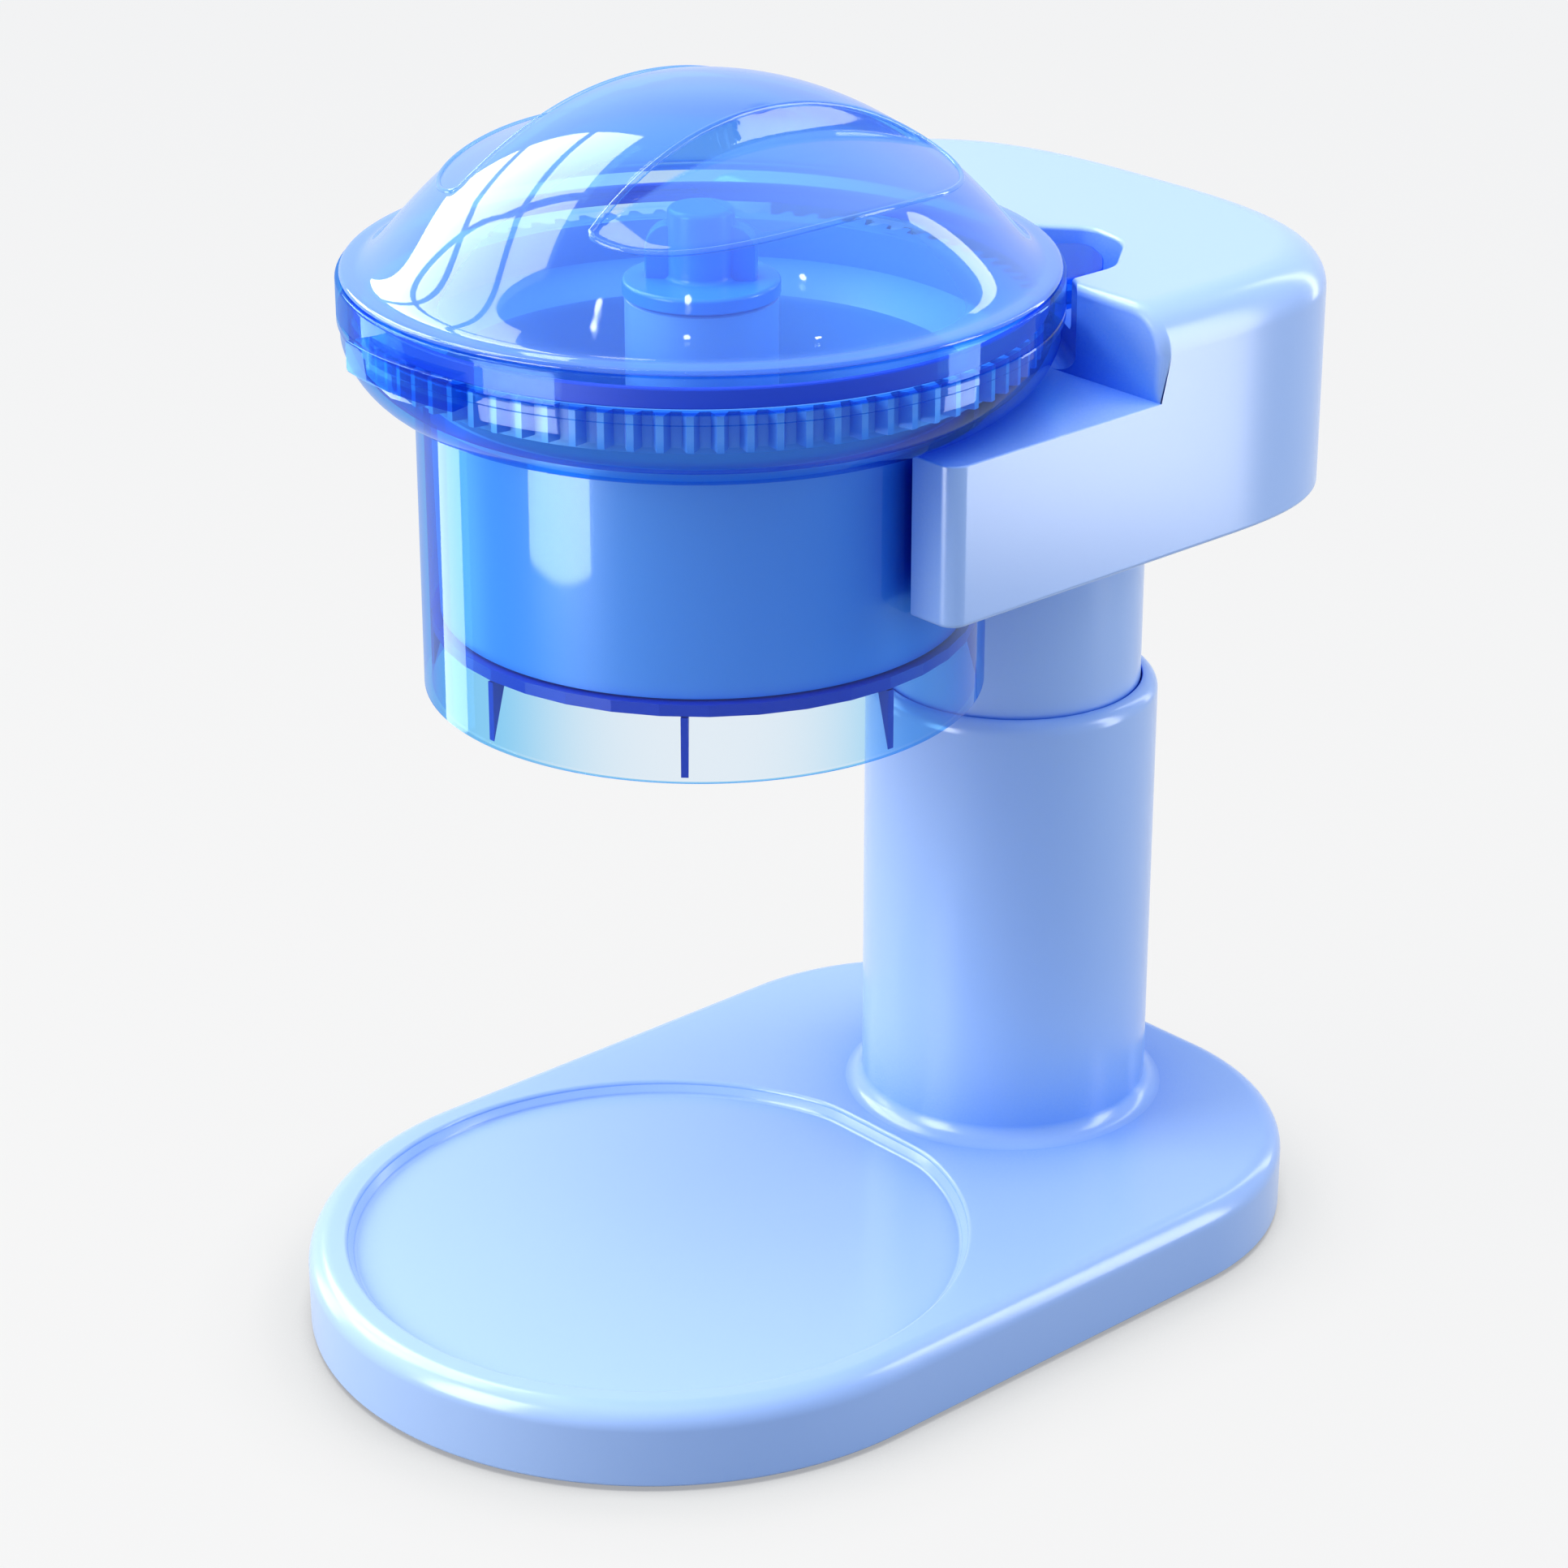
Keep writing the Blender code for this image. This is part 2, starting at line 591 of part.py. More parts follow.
def make_base_cover():
    low = FOOT_STAND + 0.0003
    high = FOOT_STAND + COVER_PLATE + 0.0003
    plate = slab("base_cover", base_outline(BASE_WALL + PRESS_GAP), low, high, BLACK_PLASTIC)
    for i, (x, y) in enumerate(FEET):
        seat = cylinder(f"foot_seat_{i + 1}", FOOT_RADIUS + PRESS_GAP, 0.0, low + FOOT_SINK,
                        BLACK_PLASTIC, (x, y, 0.0), steps=SMALL)
        cut(plate, as_cutter(seat))
        foot = [(0.0, low + FOOT_SINK - SEAT), (FOOT_RADIUS, low + FOOT_SINK - SEAT),
                (FOOT_RADIUS, 0.0006), (FOOT_RADIUS - 0.0006, 0.0), (0.0, 0.0)]
        turned(f"foot_{i + 1}", foot, FOOT_RUBBER, (x, y, 0.0), steps=SMALL, closed=False)
    for i, (x, y) in enumerate(BASE_SCREWS):
        sink = [(0.0, 0.02), (SCREW_RADIUS + SEAT, 0.02), (SCREW_RADIUS + SEAT, low + 0.0018),
                (SCREW_HEAD_RADIUS + SEAT, low + 0.0002), (SCREW_HEAD_RADIUS + SEAT, 0.0),
                (0.0, 0.0)]
        hole = turned(f"base_sink_{i + 1}", sink, BLACK_PLASTIC, (x, y, 0.0), steps=TINY,
                      closed=False)
        cut(plate, as_cutter(hole))
        countersunk_screw(f"base_screw_{i + 1}", x, y, low + 0.0002, 0.0115)


def make_power_socket():
    """Low-voltage inlet in the rear wall of the base, with its body inside."""
    height = FOOT_STAND + BASE_HEIGHT / 2
    rear = BASE_LENGTH / 2
    profile = [(0.0, 0.0), (SOCKET_RADIUS, 0.0), (SOCKET_RADIUS, -0.0130), (0.0, -0.0130)]
    body = turned("power_socket", profile, BLACK_PLASTIC, (0.0, rear - 0.0008, height), steps=MEDIUM,
                  closed=False)
    body.rotation_euler = (-math.pi / 2, 0.0, 0.0)
    mouth = cylinder("socket_mouth", 0.0028, -0.009, 0.002, BLACK_PLASTIC,
                     (0.0, rear - 0.0008, height))
    mouth.rotation_euler = (-math.pi / 2, 0.0, 0.0)
    pin = cylinder("socket_pin", 0.0010, -0.0100, -0.0012, STEEL, (0.0, rear - 0.0008, height),
                   steps=TINY)
    pin.rotation_euler = (-math.pi / 2, 0.0, 0.0)
    cut(body, as_cutter(mouth))
    fuse(body, as_cutter(pin))


def make_column():
    """Sliding neck with its lower glide ring, and the bush that guides it in the sleeve."""
    neck_low = SLEEVE_TOP - NECK_IN_SLEEVE
    waist = NECK_RADIUS - GLIDE_STEP
    groove_top = neck_low + GLIDE_HEIGHT + 0.002
    flange_low = COVER_TOP + SEAT
    flange_top = flange_low + NECK_FLANGE
    flange = NECK_RADIUS + NECK_FLANGE_REACH
    profile = [(flange, flange_top), (flange, flange_low), (NECK_RADIUS, flange_low),
               (NECK_RADIUS, groove_top), (waist, groove_top), (waist, neck_low),
               (NECK_BORE, neck_low), (NECK_BORE, flange_top)]
    neck = turned("column_neck", profile, SHELL_BLUE, COLUMN_AXIS, steps=ROUND_COLUMN)
    trim = cylinder("flange_trim", CRADLE_RADIUS + HEAD_WALL + PRESS_GAP, flange_low - 0.001,
                    flange_top + 0.001, SHELL_BLUE, HOPPER_AXIS, steps=ROUND)
    cut(neck, as_cutter(trim))
    guide = NECK_RADIUS + SLIDE_FIT
    outer = guide + SLEEVE_BUSH_WALL
    glide_low = groove_top - SEAT - GLIDE_HEIGHT
    tube("neck_glide_ring", outer, waist + PRESS_GAP, glide_low, glide_low + GLIDE_HEIGHT, NYLON,
         COLUMN_AXIS, steps=ROUND_COLUMN)
    bush_high = SLEEVE_TOP - SLEEVE_MOUTH - SEAT
    tube("sleeve_bush", outer, guide, bush_high - SLEEVE_BUSH_HEIGHT, bush_high, NYLON,
         COLUMN_AXIS, steps=ROUND_COLUMN)


def make_head():
    shell = slab("head_shell", head_outline(), HEAD_BOTTOM, HEAD_TOP, SHELL_BLUE,
                 top_edge=HEAD_TOP_EDGE, steps=3)
    span = HEAD_WIDTH + 0.02
    step_y = HOPPER_Y + HEAD_STEP
    step = box("ledge_cut", (span, 0.12, 0.06), (0.0, step_y - 0.06, HEAD_LEDGE + 0.03), SHELL_BLUE)
    cradle = turned("cradle_cut", [(0.0, ABOVE_HEAD), (CRADLE_UPPER_RADIUS, ABOVE_HEAD),
                                   (CRADLE_UPPER_RADIUS, HEAD_LEDGE), (CRADLE_RADIUS, HEAD_LEDGE),
                                   (CRADLE_RADIUS, BELOW_HEAD), (0.0, BELOW_HEAD)], SHELL_BLUE,
                    HOPPER_AXIS, closed=False)
    notch = slab("key_notch", notch_outline(), NOTCH_FLOOR, ABOVE_HEAD, SHELL_BLUE, HOPPER_AXIS)
    inside = make_head_hollow()
    cut(shell, as_cutter(step), as_cutter(cradle), as_cutter(notch), inside)
    window = cylinder("pinion_window", WINDOW_RADIUS, HEAD_LEDGE + 0.0010, HEAD_TOP - 0.0022,
                      SHELL_BLUE, PINION_AXIS, steps=MEDIUM)
    plunger_hole = cylinder("plunger_hole", PLUNGER_RADIUS + SLIDE_FIT, NOTCH_FLOOR - 0.005, 0.28,
                            SHELL_BLUE, PLUNGER_PLACE)
    bush_hole = cylinder("upper_bush_hole", BUSH_RADIUS + SEAT, HEAD_LEDGE - 0.012,
                         HEAD_LEDGE + 0.004, SHELL_BLUE, PINION_AXIS, steps=SMALL)
    cut(shell, as_cutter(window), as_cutter(plunger_hole), as_cutter(bush_hole))
    for i, (x, y) in enumerate(HEAD_SCREWS):
        pilot = cylinder(f"head_pilot_{i + 1}", SCREW_RADIUS + SEAT, COVER_TOP - 0.001,
                         COVER_TOP + 0.013, SHELL_BLUE, (x, y, 0.0), steps=TINY)
        cut(shell, as_cutter(pilot))


def make_head_hollow():
    """The head's inside: its outline less the cradle, ledge, notch and boss walls."""
    inside = slab("head_hollow", head_outline(HEAD_WALL), HEAD_BOTTOM - 0.01, HEAD_TOP - HEAD_WALL,
                  SHELL_BLUE, top_edge=HEAD_TOP_EDGE - HEAD_WALL, steps=2)
    ledge_under = HEAD_LEDGE - HEAD_WALL
    keep_cradle = turned("keep_cradle", [(0.0, ABOVE_HEAD),
                                         (CRADLE_UPPER_RADIUS + HEAD_WALL, ABOVE_HEAD),
                                         (CRADLE_UPPER_RADIUS + HEAD_WALL, ledge_under),
                                         (CRADLE_RADIUS + HEAD_WALL, ledge_under),
                                         (CRADLE_RADIUS + HEAD_WALL, BELOW_HEAD), (0.0, BELOW_HEAD)],
                         SHELL_BLUE, HOPPER_AXIS, closed=False)
    keep_step = box("keep_step", (HEAD_WIDTH + 0.05, 0.12, 0.08),
                    (0.0, HOPPER_Y + HEAD_STEP + HEAD_WALL - 0.06, ledge_under + 0.04), SHELL_BLUE)
    keep_notch = slab("keep_notch", notch_outline(HEAD_WALL), NOTCH_FLOOR - HEAD_WALL, ABOVE_HEAD,
                      SHELL_BLUE, HOPPER_AXIS)
    keep_bush = cylinder("keep_bush", BUSH_RADIUS + SEAT + 0.0022, HEAD_LEDGE - 0.008, 0.2522,
                         SHELL_BLUE, PINION_AXIS, steps=20)
    keep_window = cylinder("keep_window", WINDOW_RADIUS + HEAD_WALL, HEAD_LEDGE - HEAD_WALL + 0.0004,
                           0.30, SHELL_BLUE, PINION_AXIS, steps=MEDIUM)
    cut(inside, as_cutter(keep_cradle), as_cutter(keep_step), as_cutter(keep_notch),
        as_cutter(keep_bush), as_cutter(keep_window))
    for i, (x, y) in enumerate(HEAD_SCREWS):
        boss = cylinder(f"head_boss_{i + 1}", SCREW_BOSS, COVER_TOP + SEAT, 0.28, SHELL_BLUE,
                        (x, y, 0.0))
        cut(inside, as_cutter(boss))
    return as_cutter(inside)


def make_head_cover():
    """Flat cover under the head, round the cradle, with the neck's hole and a lower bush."""
    plate = slab("head_cover", head_outline(HEAD_WALL + PRESS_GAP), HEAD_BOTTOM + 0.0002, COVER_TOP,
                 SHELL_BLUE)
    cradle = cylinder("cover_cradle_cut", CRADLE_RADIUS + HEAD_WALL + PRESS_GAP, BELOW_HEAD, HEAD_LEDGE,
                      SHELL_BLUE, HOPPER_AXIS, steps=ROUND)
    neck = cylinder("cover_neck_cut", NECK_RADIUS + PRESS_GAP, BELOW_HEAD, HEAD_LEDGE, SHELL_BLUE,
                    COLUMN_AXIS, steps=48)
    cut(plate, as_cutter(cradle), as_cutter(neck))
    for i, (x, y) in enumerate(HEAD_SCREWS):
        low = HEAD_BOTTOM + 0.0002
        sink = [(0.0, 0.03), (SCREW_RADIUS + SEAT, 0.03), (SCREW_RADIUS + SEAT, 0.0018),
                (SCREW_HEAD_RADIUS + SEAT, 0.0002), (SCREW_HEAD_RADIUS + SEAT, -0.002),
                (0.0, -0.002)]
        hole = turned(f"head_sink_{i + 1}", sink, SHELL_BLUE, (x, y, low), steps=TINY, closed=False)
        cut(plate, as_cutter(hole))
        countersunk_screw(f"head_screw_{i + 1}", x, y, low + 0.0002, 0.0125)
    return plate


def make_drive():
    """Reduction gears and the pinion that turns the drum's ring gear."""
    pinion_low = RING_BOTTOM + 0.0004
    to_ring = math.atan2(HOPPER_Y - PINION_AXIS.y, -PINION_AXIS.x)
    phase = to_ring + math.pi / PINION_TEETH
    pinion = slab("drive_pinion", gear_outline(PINION_TEETH, PINION_PITCH_RADIUS, phase),
                  pinion_low, pinion_low + PINION_HEIGHT, NYLON, PINION_AXIS)
    cylinder("drive_shaft", SHAFT_RADIUS, BRACKET_LOW, SHAFT_TOP, STEEL, PINION_AXIS)
    wheel_radius = MOTOR_MODULE * WHEEL_TEETH / 2
    motor_radius = MOTOR_MODULE * MOTOR_TEETH / 2
    wheel = slab("reduction_wheel", gear_outline(WHEEL_TEETH, wheel_radius, MOTOR_SIDE_ANGLE),
                 GEAR_LOW, GEAR_HIGH, NYLON, PINION_AXIS)
    small_phase = MOTOR_SIDE_ANGLE + math.pi + math.pi / MOTOR_TEETH
    small = slab("motor_pinion", gear_outline(MOTOR_TEETH, motor_radius, small_phase), GEAR_LOW,
                 GEAR_HIGH, BRASS, MOTOR_AXIS)
    cylinder("motor_shaft", MOTOR_SHAFT, BRACKET_LOW - 0.006, GEAR_HIGH + 0.001, STEEL, MOTOR_AXIS)
    for gear, axis, radius in ((pinion, PINION_AXIS, SHAFT_RADIUS), (wheel, PINION_AXIS, SHAFT_RADIUS),
                               (small, MOTOR_AXIS, MOTOR_SHAFT)):
        bore = cylinder(gear.name + "_bore", radius + PRESS_GAP, BELOW_HEAD, ABOVE_HEAD, NYLON, axis)
        cut(gear, as_cutter(bore))
    tube("shaft_bush_upper", BUSH_RADIUS, SHAFT_RADIUS + PRESS_GAP, UPPER_BUSH_TOP - 0.0072,
         UPPER_BUSH_TOP, BRASS, PINION_AXIS, steps=SMALL)
    tube("shaft_bush_lower", BUSH_RADIUS, SHAFT_RADIUS + PRESS_GAP, BRACKET_LOW - 0.0014,
         BRACKET_HIGH + 0.0004, BRASS, PINION_AXIS, steps=SMALL)


def make_motor():
    """Round motor hung below its bracket, inside the top of the neck."""
    top = BRACKET_LOW - SEAT
    boss_top = BRACKET_HIGH - 0.0002
    bore = MOTOR_SHAFT + PRESS_GAP
    bore_low = BRACKET_LOW - 0.007
    low = top - MOTOR_LENGTH
    profile = [(0.0, bore_low), (bore, bore_low), (bore, boss_top), (MOTOR_BOSS, boss_top),
               (MOTOR_BOSS, top), (MOTOR_RADIUS, top), (MOTOR_RADIUS, low + 0.0015),
               (MOTOR_RADIUS - 0.0015, low), (0.0, low)]
    turned("motor", profile, MOTOR_STEEL, MOTOR_AXIS, steps=MEDIUM, closed=False)
    make_motor_bracket()


def make_motor_bracket():
    """Bridge plate on two legs that carries the motor, both gears and the switch."""
    middle = Vector((0.0, (MOTOR_AXIS.y + PINION_AXIS.y) / 2 + 0.004, 0.0))
    ear = BRACKET_EAR
    reach, half = BRACKET_REACH, BRACKET_HALF_WIDTH
    shoulder = reach - 0.012
    outline = [(-shoulder, -half), (shoulder, -half)]
    outline += arc((reach, 0.0), ear, -math.pi / 2, math.pi / 2, 6)
    outline += [(shoulder, half), (-shoulder, half)]
    outline += arc((-reach, 0.0), ear, math.pi / 2, 1.5 * math.pi, 6)
    plate = slab("motor_bracket", outline, BRACKET_LOW, BRACKET_HIGH, STEEL, middle)
    for i, side in enumerate((-1, 1)):
        leg = cylinder(f"bracket_leg_{i + 1}", LEG_RADIUS, COVER_TOP + SEAT, BRACKET_LOW + 0.001,
                       STEEL, middle + Vector((side * reach, 0.0, 0.0)), steps=TINY)
        fuse(plate, as_cutter(leg))
    boss = cylinder("bracket_boss_hole", MOTOR_BOSS + SEAT, BELOW_HEAD, HEAD_LEDGE, STEEL, MOTOR_AXIS,
                    steps=SMALL)
    shaft = cylinder("bracket_bush_hole", BUSH_RADIUS + SEAT, BELOW_HEAD, HEAD_LEDGE, STEEL, PINION_AXIS,
                     steps=SMALL)
    cut(plate, as_cutter(boss), as_cutter(shaft))
    stand_low = BRACKET_HIGH - 0.001
    stand_high = SWITCH_TOP - SWITCH_SIZE[2] - SEAT
    stand = box("switch_stand", (SWITCH_SIZE[0], SWITCH_SIZE[1], stand_high - stand_low),
                (PLUNGER_PLACE.x, PLUNGER_PLACE.y, (stand_low + stand_high) / 2), STEEL,
                turn=-KEY_ANGLE)
    fuse(plate, as_cutter(stand))


def make_interlock():
    """Plunger in the key notch and the small switch that it works."""
    top = KEY_TOP - KEY_HEIGHT - SEAT
    flange_low = PLUNGER_SHOULDER - 0.0016
    profile = [(0.0, top), (PLUNGER_RADIUS, top), (PLUNGER_RADIUS, PLUNGER_SHOULDER),
               (PLUNGER_FLANGE, PLUNGER_SHOULDER), (PLUNGER_FLANGE, flange_low),
               (0.0018, flange_low), (0.0018, PLUNGER_LOW), (0.0, PLUNGER_LOW)]
    turned("interlock_plunger", profile, NYLON, PLUNGER_PLACE, steps=SMALL, closed=False)
    middle = (PLUNGER_PLACE.x, PLUNGER_PLACE.y, SWITCH_TOP - SWITCH_SIZE[2] / 2)
    box("micro_switch", SWITCH_SIZE, middle, BLACK_PLASTIC, turn=-KEY_ANGLE)


def make_hopper():
    """Clear hopper: drum wall, bowl-shaped flange, rim and the skirt with its gussets."""
    wall = HOPPER_WALL
    rim_low = RIM_TOP - RIM_HEIGHT
    outside = [(RIM_RADIUS, RIM_TOP), (RIM_RADIUS, rim_low), (FLANGE_RADIUS, rim_low - 0.0003)]
    outside += list(reversed(flange_profile(0.0)))
    outside += [(DRUM_RADIUS, HOPPER_BOTTOM)]
    inner = DRUM_RADIUS - wall
    inside = [(inner, HOPPER_BOTTOM)]
    inside += [(r, z) for r, z in flange_profile(wall)]
    inside += [(FLANGE_RADIUS - wall, RIM_TOP)]
    hopper = turned("clear_hopper", outside + inside, CLEAR_BLUE, HOPPER_AXIS)
    floor_low = BLADE_FLOOR_TOP - BLADE_FLOOR
    for i in range(GUSSETS):
        swing = 2 * math.pi * i / GUSSETS
        low = HOPPER_BOTTOM + 0.0008
        high = floor_low - SEAT
        corners = [(inner + 0.0006, low), (inner + 0.0006, high), (inner - GUSSET_REACH, high)]
        gusset = upright(f"gusset_{i + 1}", corners, GUSSET_WIDTH, CLEAR_BLUE, HOPPER_AXIS, swing)
        fuse(hopper, as_cutter(gusset))
    window = cylinder("hopper_window", PINION_TIP + 0.0012, HEAD_LEDGE - 0.004,
                      RING_BOTTOM + PINION_HEIGHT + 0.0008, CLEAR_BLUE, PINION_AXIS, steps=MEDIUM)
    cut(hopper, as_cutter(window))
    return hopper


def make_blade_floor():
    low = BLADE_FLOOR_TOP - BLADE_FLOOR
    radius = DRUM_RADIUS - HOPPER_WALL - PRESS_GAP
    floor = turned("blade_floor", [(0.0, BLADE_FLOOR_TOP), (radius, BLADE_FLOOR_TOP), (radius, low),
                                   (0.0, low)], FLOOR_BLUE, HOPPER_AXIS, closed=False)
    along = Vector((math.cos(BLADE_ANGLE), math.sin(BLADE_ANGLE), 0.0))
    across = Vector((-along.y, along.x, 0.0))
    blade_middle = HOPPER_AXIS + along * 0.0405
    slot = box("blade_slot", (BLADE_LENGTH - 0.004, BLADE_SLOT, 0.02),
               blade_middle - across * (BLADE_SLOT / 2) + Vector((0, 0, low)), FLOOR_BLUE,
               turn=BLADE_ANGLE)
    pocket = box("blade_pocket", (BLADE_LENGTH + 0.0006, BLADE_WIDTH + 0.0006, 0.01),
                 blade_middle + across * (BLADE_WIDTH / 2 - 0.0012)
                 + Vector((0, 0, low - 0.005 + BLADE_THICKNESS + SEAT)), FLOOR_BLUE,
                 turn=BLADE_ANGLE)
    pin_hole = cylinder("pivot_hole", PIVOT_RADIUS + SEAT, low - 0.01, low + 0.02, FLOOR_BLUE,
                        HOPPER_AXIS)
    cut(floor, as_cutter(slot), as_cutter(pocket), as_cutter(pin_hole))
    blade = box("shaving_blade", (BLADE_LENGTH, BLADE_WIDTH, BLADE_THICKNESS),
                blade_middle + across * (BLADE_WIDTH / 2 - 0.0012)
                + Vector((0, 0, low + BLADE_THICKNESS / 2)), STEEL, turn=BLADE_ANGLE)
    sharpen(blade)
    for i, shift in enumerate((-0.014, 0.014)):
        place = blade_middle + along * shift + across * 0.0068
        hole = cylinder(f"blade_hole_{i + 1}", SCREW_RADIUS + SEAT, low - 0.01, low + 0.0026, STEEL,
                        place, steps=TINY)
        combine(blade, as_cutter(hole), "DIFFERENCE")
        combine(floor, hole, "DIFFERENCE")
        profile = [(0.0, low + 0.0024), (SCREW_RADIUS, low + 0.0024), (SCREW_RADIUS, low - SEAT),
                   (0.0026, low - SEAT), (0.0026, low - 0.0018), (0.0, low - 0.0018)]
        turned(f"blade_screw_{i + 1}", profile, STEEL, place, steps=TINY, closed=False)
    pin = [(0.0, low + PIVOT_HEIGHT), (PIVOT_RADIUS, low + PIVOT_HEIGHT), (PIVOT_RADIUS, low - SEAT),
           (0.0075, low - SEAT), (0.0075, low - 0.0022), (0.0, low - 0.0022)]
    turned("pivot_pin", pin, STEEL, HOPPER_AXIS, steps=MEDIUM, closed=False)


def sharpen(blade):
    """Lean the cutting edge of the blade to a bevel."""
    for vert in blade.data.vertices:
        if vert.co.y < 0 and vert.co.z < 0:
            vert.co.y += 0.0022


def make_rotor():
    """Everything that turns on the pivot pin: drum, ring gear, pusher and knob."""
    low = BLADE_FLOOR_TOP + 0.0006
    inner_low = LINER_RADIUS - LINER_TAPER - LINER_WALL
    shoulder = RING_BOTTOM - SEAT
    ring_root = RING_BORE - PRESS_GAP
    ring_top = RING_BOTTOM + RING_HEIGHT
    profile = [(ring_root, ring_top), (ring_root, shoulder), (RING_BORE + 0.0018, shoulder),
               (RING_BORE + 0.0018, shoulder - 0.0016), (LINER_RADIUS, shoulder - 0.0085),
               (LINER_RADIUS - LINER_TAPER, low), (inner_low, low),
               (LINER_RADIUS - LINER_WALL, shoulder - 0.0076),
               (ring_root - LINER_WALL, shoulder - 0.0010), (ring_root - LINER_WALL, ring_top)]
    turned("ice_drum", profile, DRUM_BLUE, HOPPER_AXIS)
    ring = slab("ring_gear", gear_outline(RING_TEETH, RING_PITCH_RADIUS, RING_PHASE), RING_BOTTOM,
                ring_top, DRUM_BLUE, HOPPER_AXIS)
    bore = cylinder("ring_gear_bore", RING_BORE, HEAD_LEDGE, ABOVE_HEAD, DRUM_BLUE, HOPPER_AXIS,
                    steps=ROUND)
    cut(ring, as_cutter(bore))
    make_pusher(low)
    make_knob()


def make_pusher(low):
    """Post with three raked paddles that sweep the ice over the blade."""
    post_low = low + 0.0012
    bore = PIVOT_RADIUS + 0.0021 + PRESS_GAP
    bore_top = BLADE_FLOOR_TOP - BLADE_FLOOR + PIVOT_HEIGHT + 0.0010
    hollow = POST_RADIUS - POST_WALL
    floor = bore_top + POST_WALL
    post = turned("ice_pusher", [(0.0, floor), (hollow, floor), (hollow, POST_TOP),
                                 (POST_RADIUS, POST_TOP), (POST_RADIUS, post_low),
                                 (bore, post_low), (bore, bore_top), (0.0, bore_top)],
                  DRUM_BLUE, HOPPER_AXIS, steps=MEDIUM, closed=False)
    reach = LINER_RADIUS - LINER_TAPER - LINER_WALL - PRESS_GAP
    for i in range(PADDLES):
        paddle = paddle_plate(f"paddle_{i + 1}", reach, post_low)
        paddle.rotation_euler = (0.0, 0.0, math.radians(35.0) + 2 * math.pi * i / PADDLES)
        fuse(post, as_cutter(paddle))
    tube("pusher_bush", PIVOT_RADIUS + 0.0021, PIVOT_RADIUS + PRESS_GAP, post_low, bore_top - 0.003,
         BRASS, HOPPER_AXIS, steps=SMALL)


def paddle_plate(name, reach, low):
    """Swept blade of the pusher, tapering in height towards the drum wall."""
    count = 5
    rows = []
    bm = bmesh.new()
    for i in range(count + 1):
        share = i / count
        radius = (POST_RADIUS - 0.004) + (reach - POST_RADIUS + 0.004) * share
        swing = -0.42 * share * share
        half = PADDLE_WIDTH / 2 * (1.25 - 0.35 * share)
        high = low + PADDLE_HEIGHT * (1.0 - 0.45 * share)
        side = Vector((-math.sin(swing), math.cos(swing), 0.0)) * half
        middle = Vector((math.cos(swing), math.sin(swing), 0.0)) * radius
        rows.append([bm.verts.new(middle + side * edge + Vector((0.0, 0.0, z)))
                     for edge, z in ((-1, low), (1, low), (1, high), (-1, high))])
    bm.faces.new(rows[0])
    bm.faces.new(rows[-1])
    for here, there in zip(rows, rows[1:]):
        for i in range(4):
            j = (i + 1) % 4
            bm.faces.new((here[i], here[j], there[j], there[i]))
    return add_part(name, mesh_from(bm, name), DRUM_BLUE, HOPPER_AXIS)


def make_knob():
    """Lift-out knob: a disc, a round boss and two wings."""
    low = POST_TOP + SEAT
    top = low + KNOB_HEIGHT
    disc_top = low + KNOB_DISC
    spigot = POST_RADIUS - POST_WALL - PRESS_GAP
    profile = [(0.0, top), (KNOB_BOSS_RADIUS - 0.001, top), (KNOB_BOSS_RADIUS, top - 0.001),
               (KNOB_BOSS_RADIUS, disc_top), (KNOB_RADIUS - 0.0008, disc_top),
               (KNOB_RADIUS, disc_top - 0.0008), (KNOB_RADIUS, low), (spigot, low),
               (spigot, low - 0.003), (0.0, low - 0.003)]
    knob = turned("lift_knob", profile, KNOB_BLUE, HOPPER_AXIS, steps=MEDIUM, closed=False)
    corner = 0.006
    wing_top = top - 0.004
    side = [(0.0, disc_top - 0.001), (KNOB_WING_REACH, disc_top - 0.001)]
    side += arc((KNOB_WING_REACH - corner, wing_top - corner), corner, 0.0, math.pi / 2, 4)
    side.append((0.0, wing_top))
    for i in range(2):
        wing = upright(f"knob_wing_{i + 1}", side, KNOB_WING_WIDTH, KNOB_BLUE, HOPPER_AXIS,
                       math.radians(42.0) + math.pi * i)
        fuse(knob, as_cutter(wing))


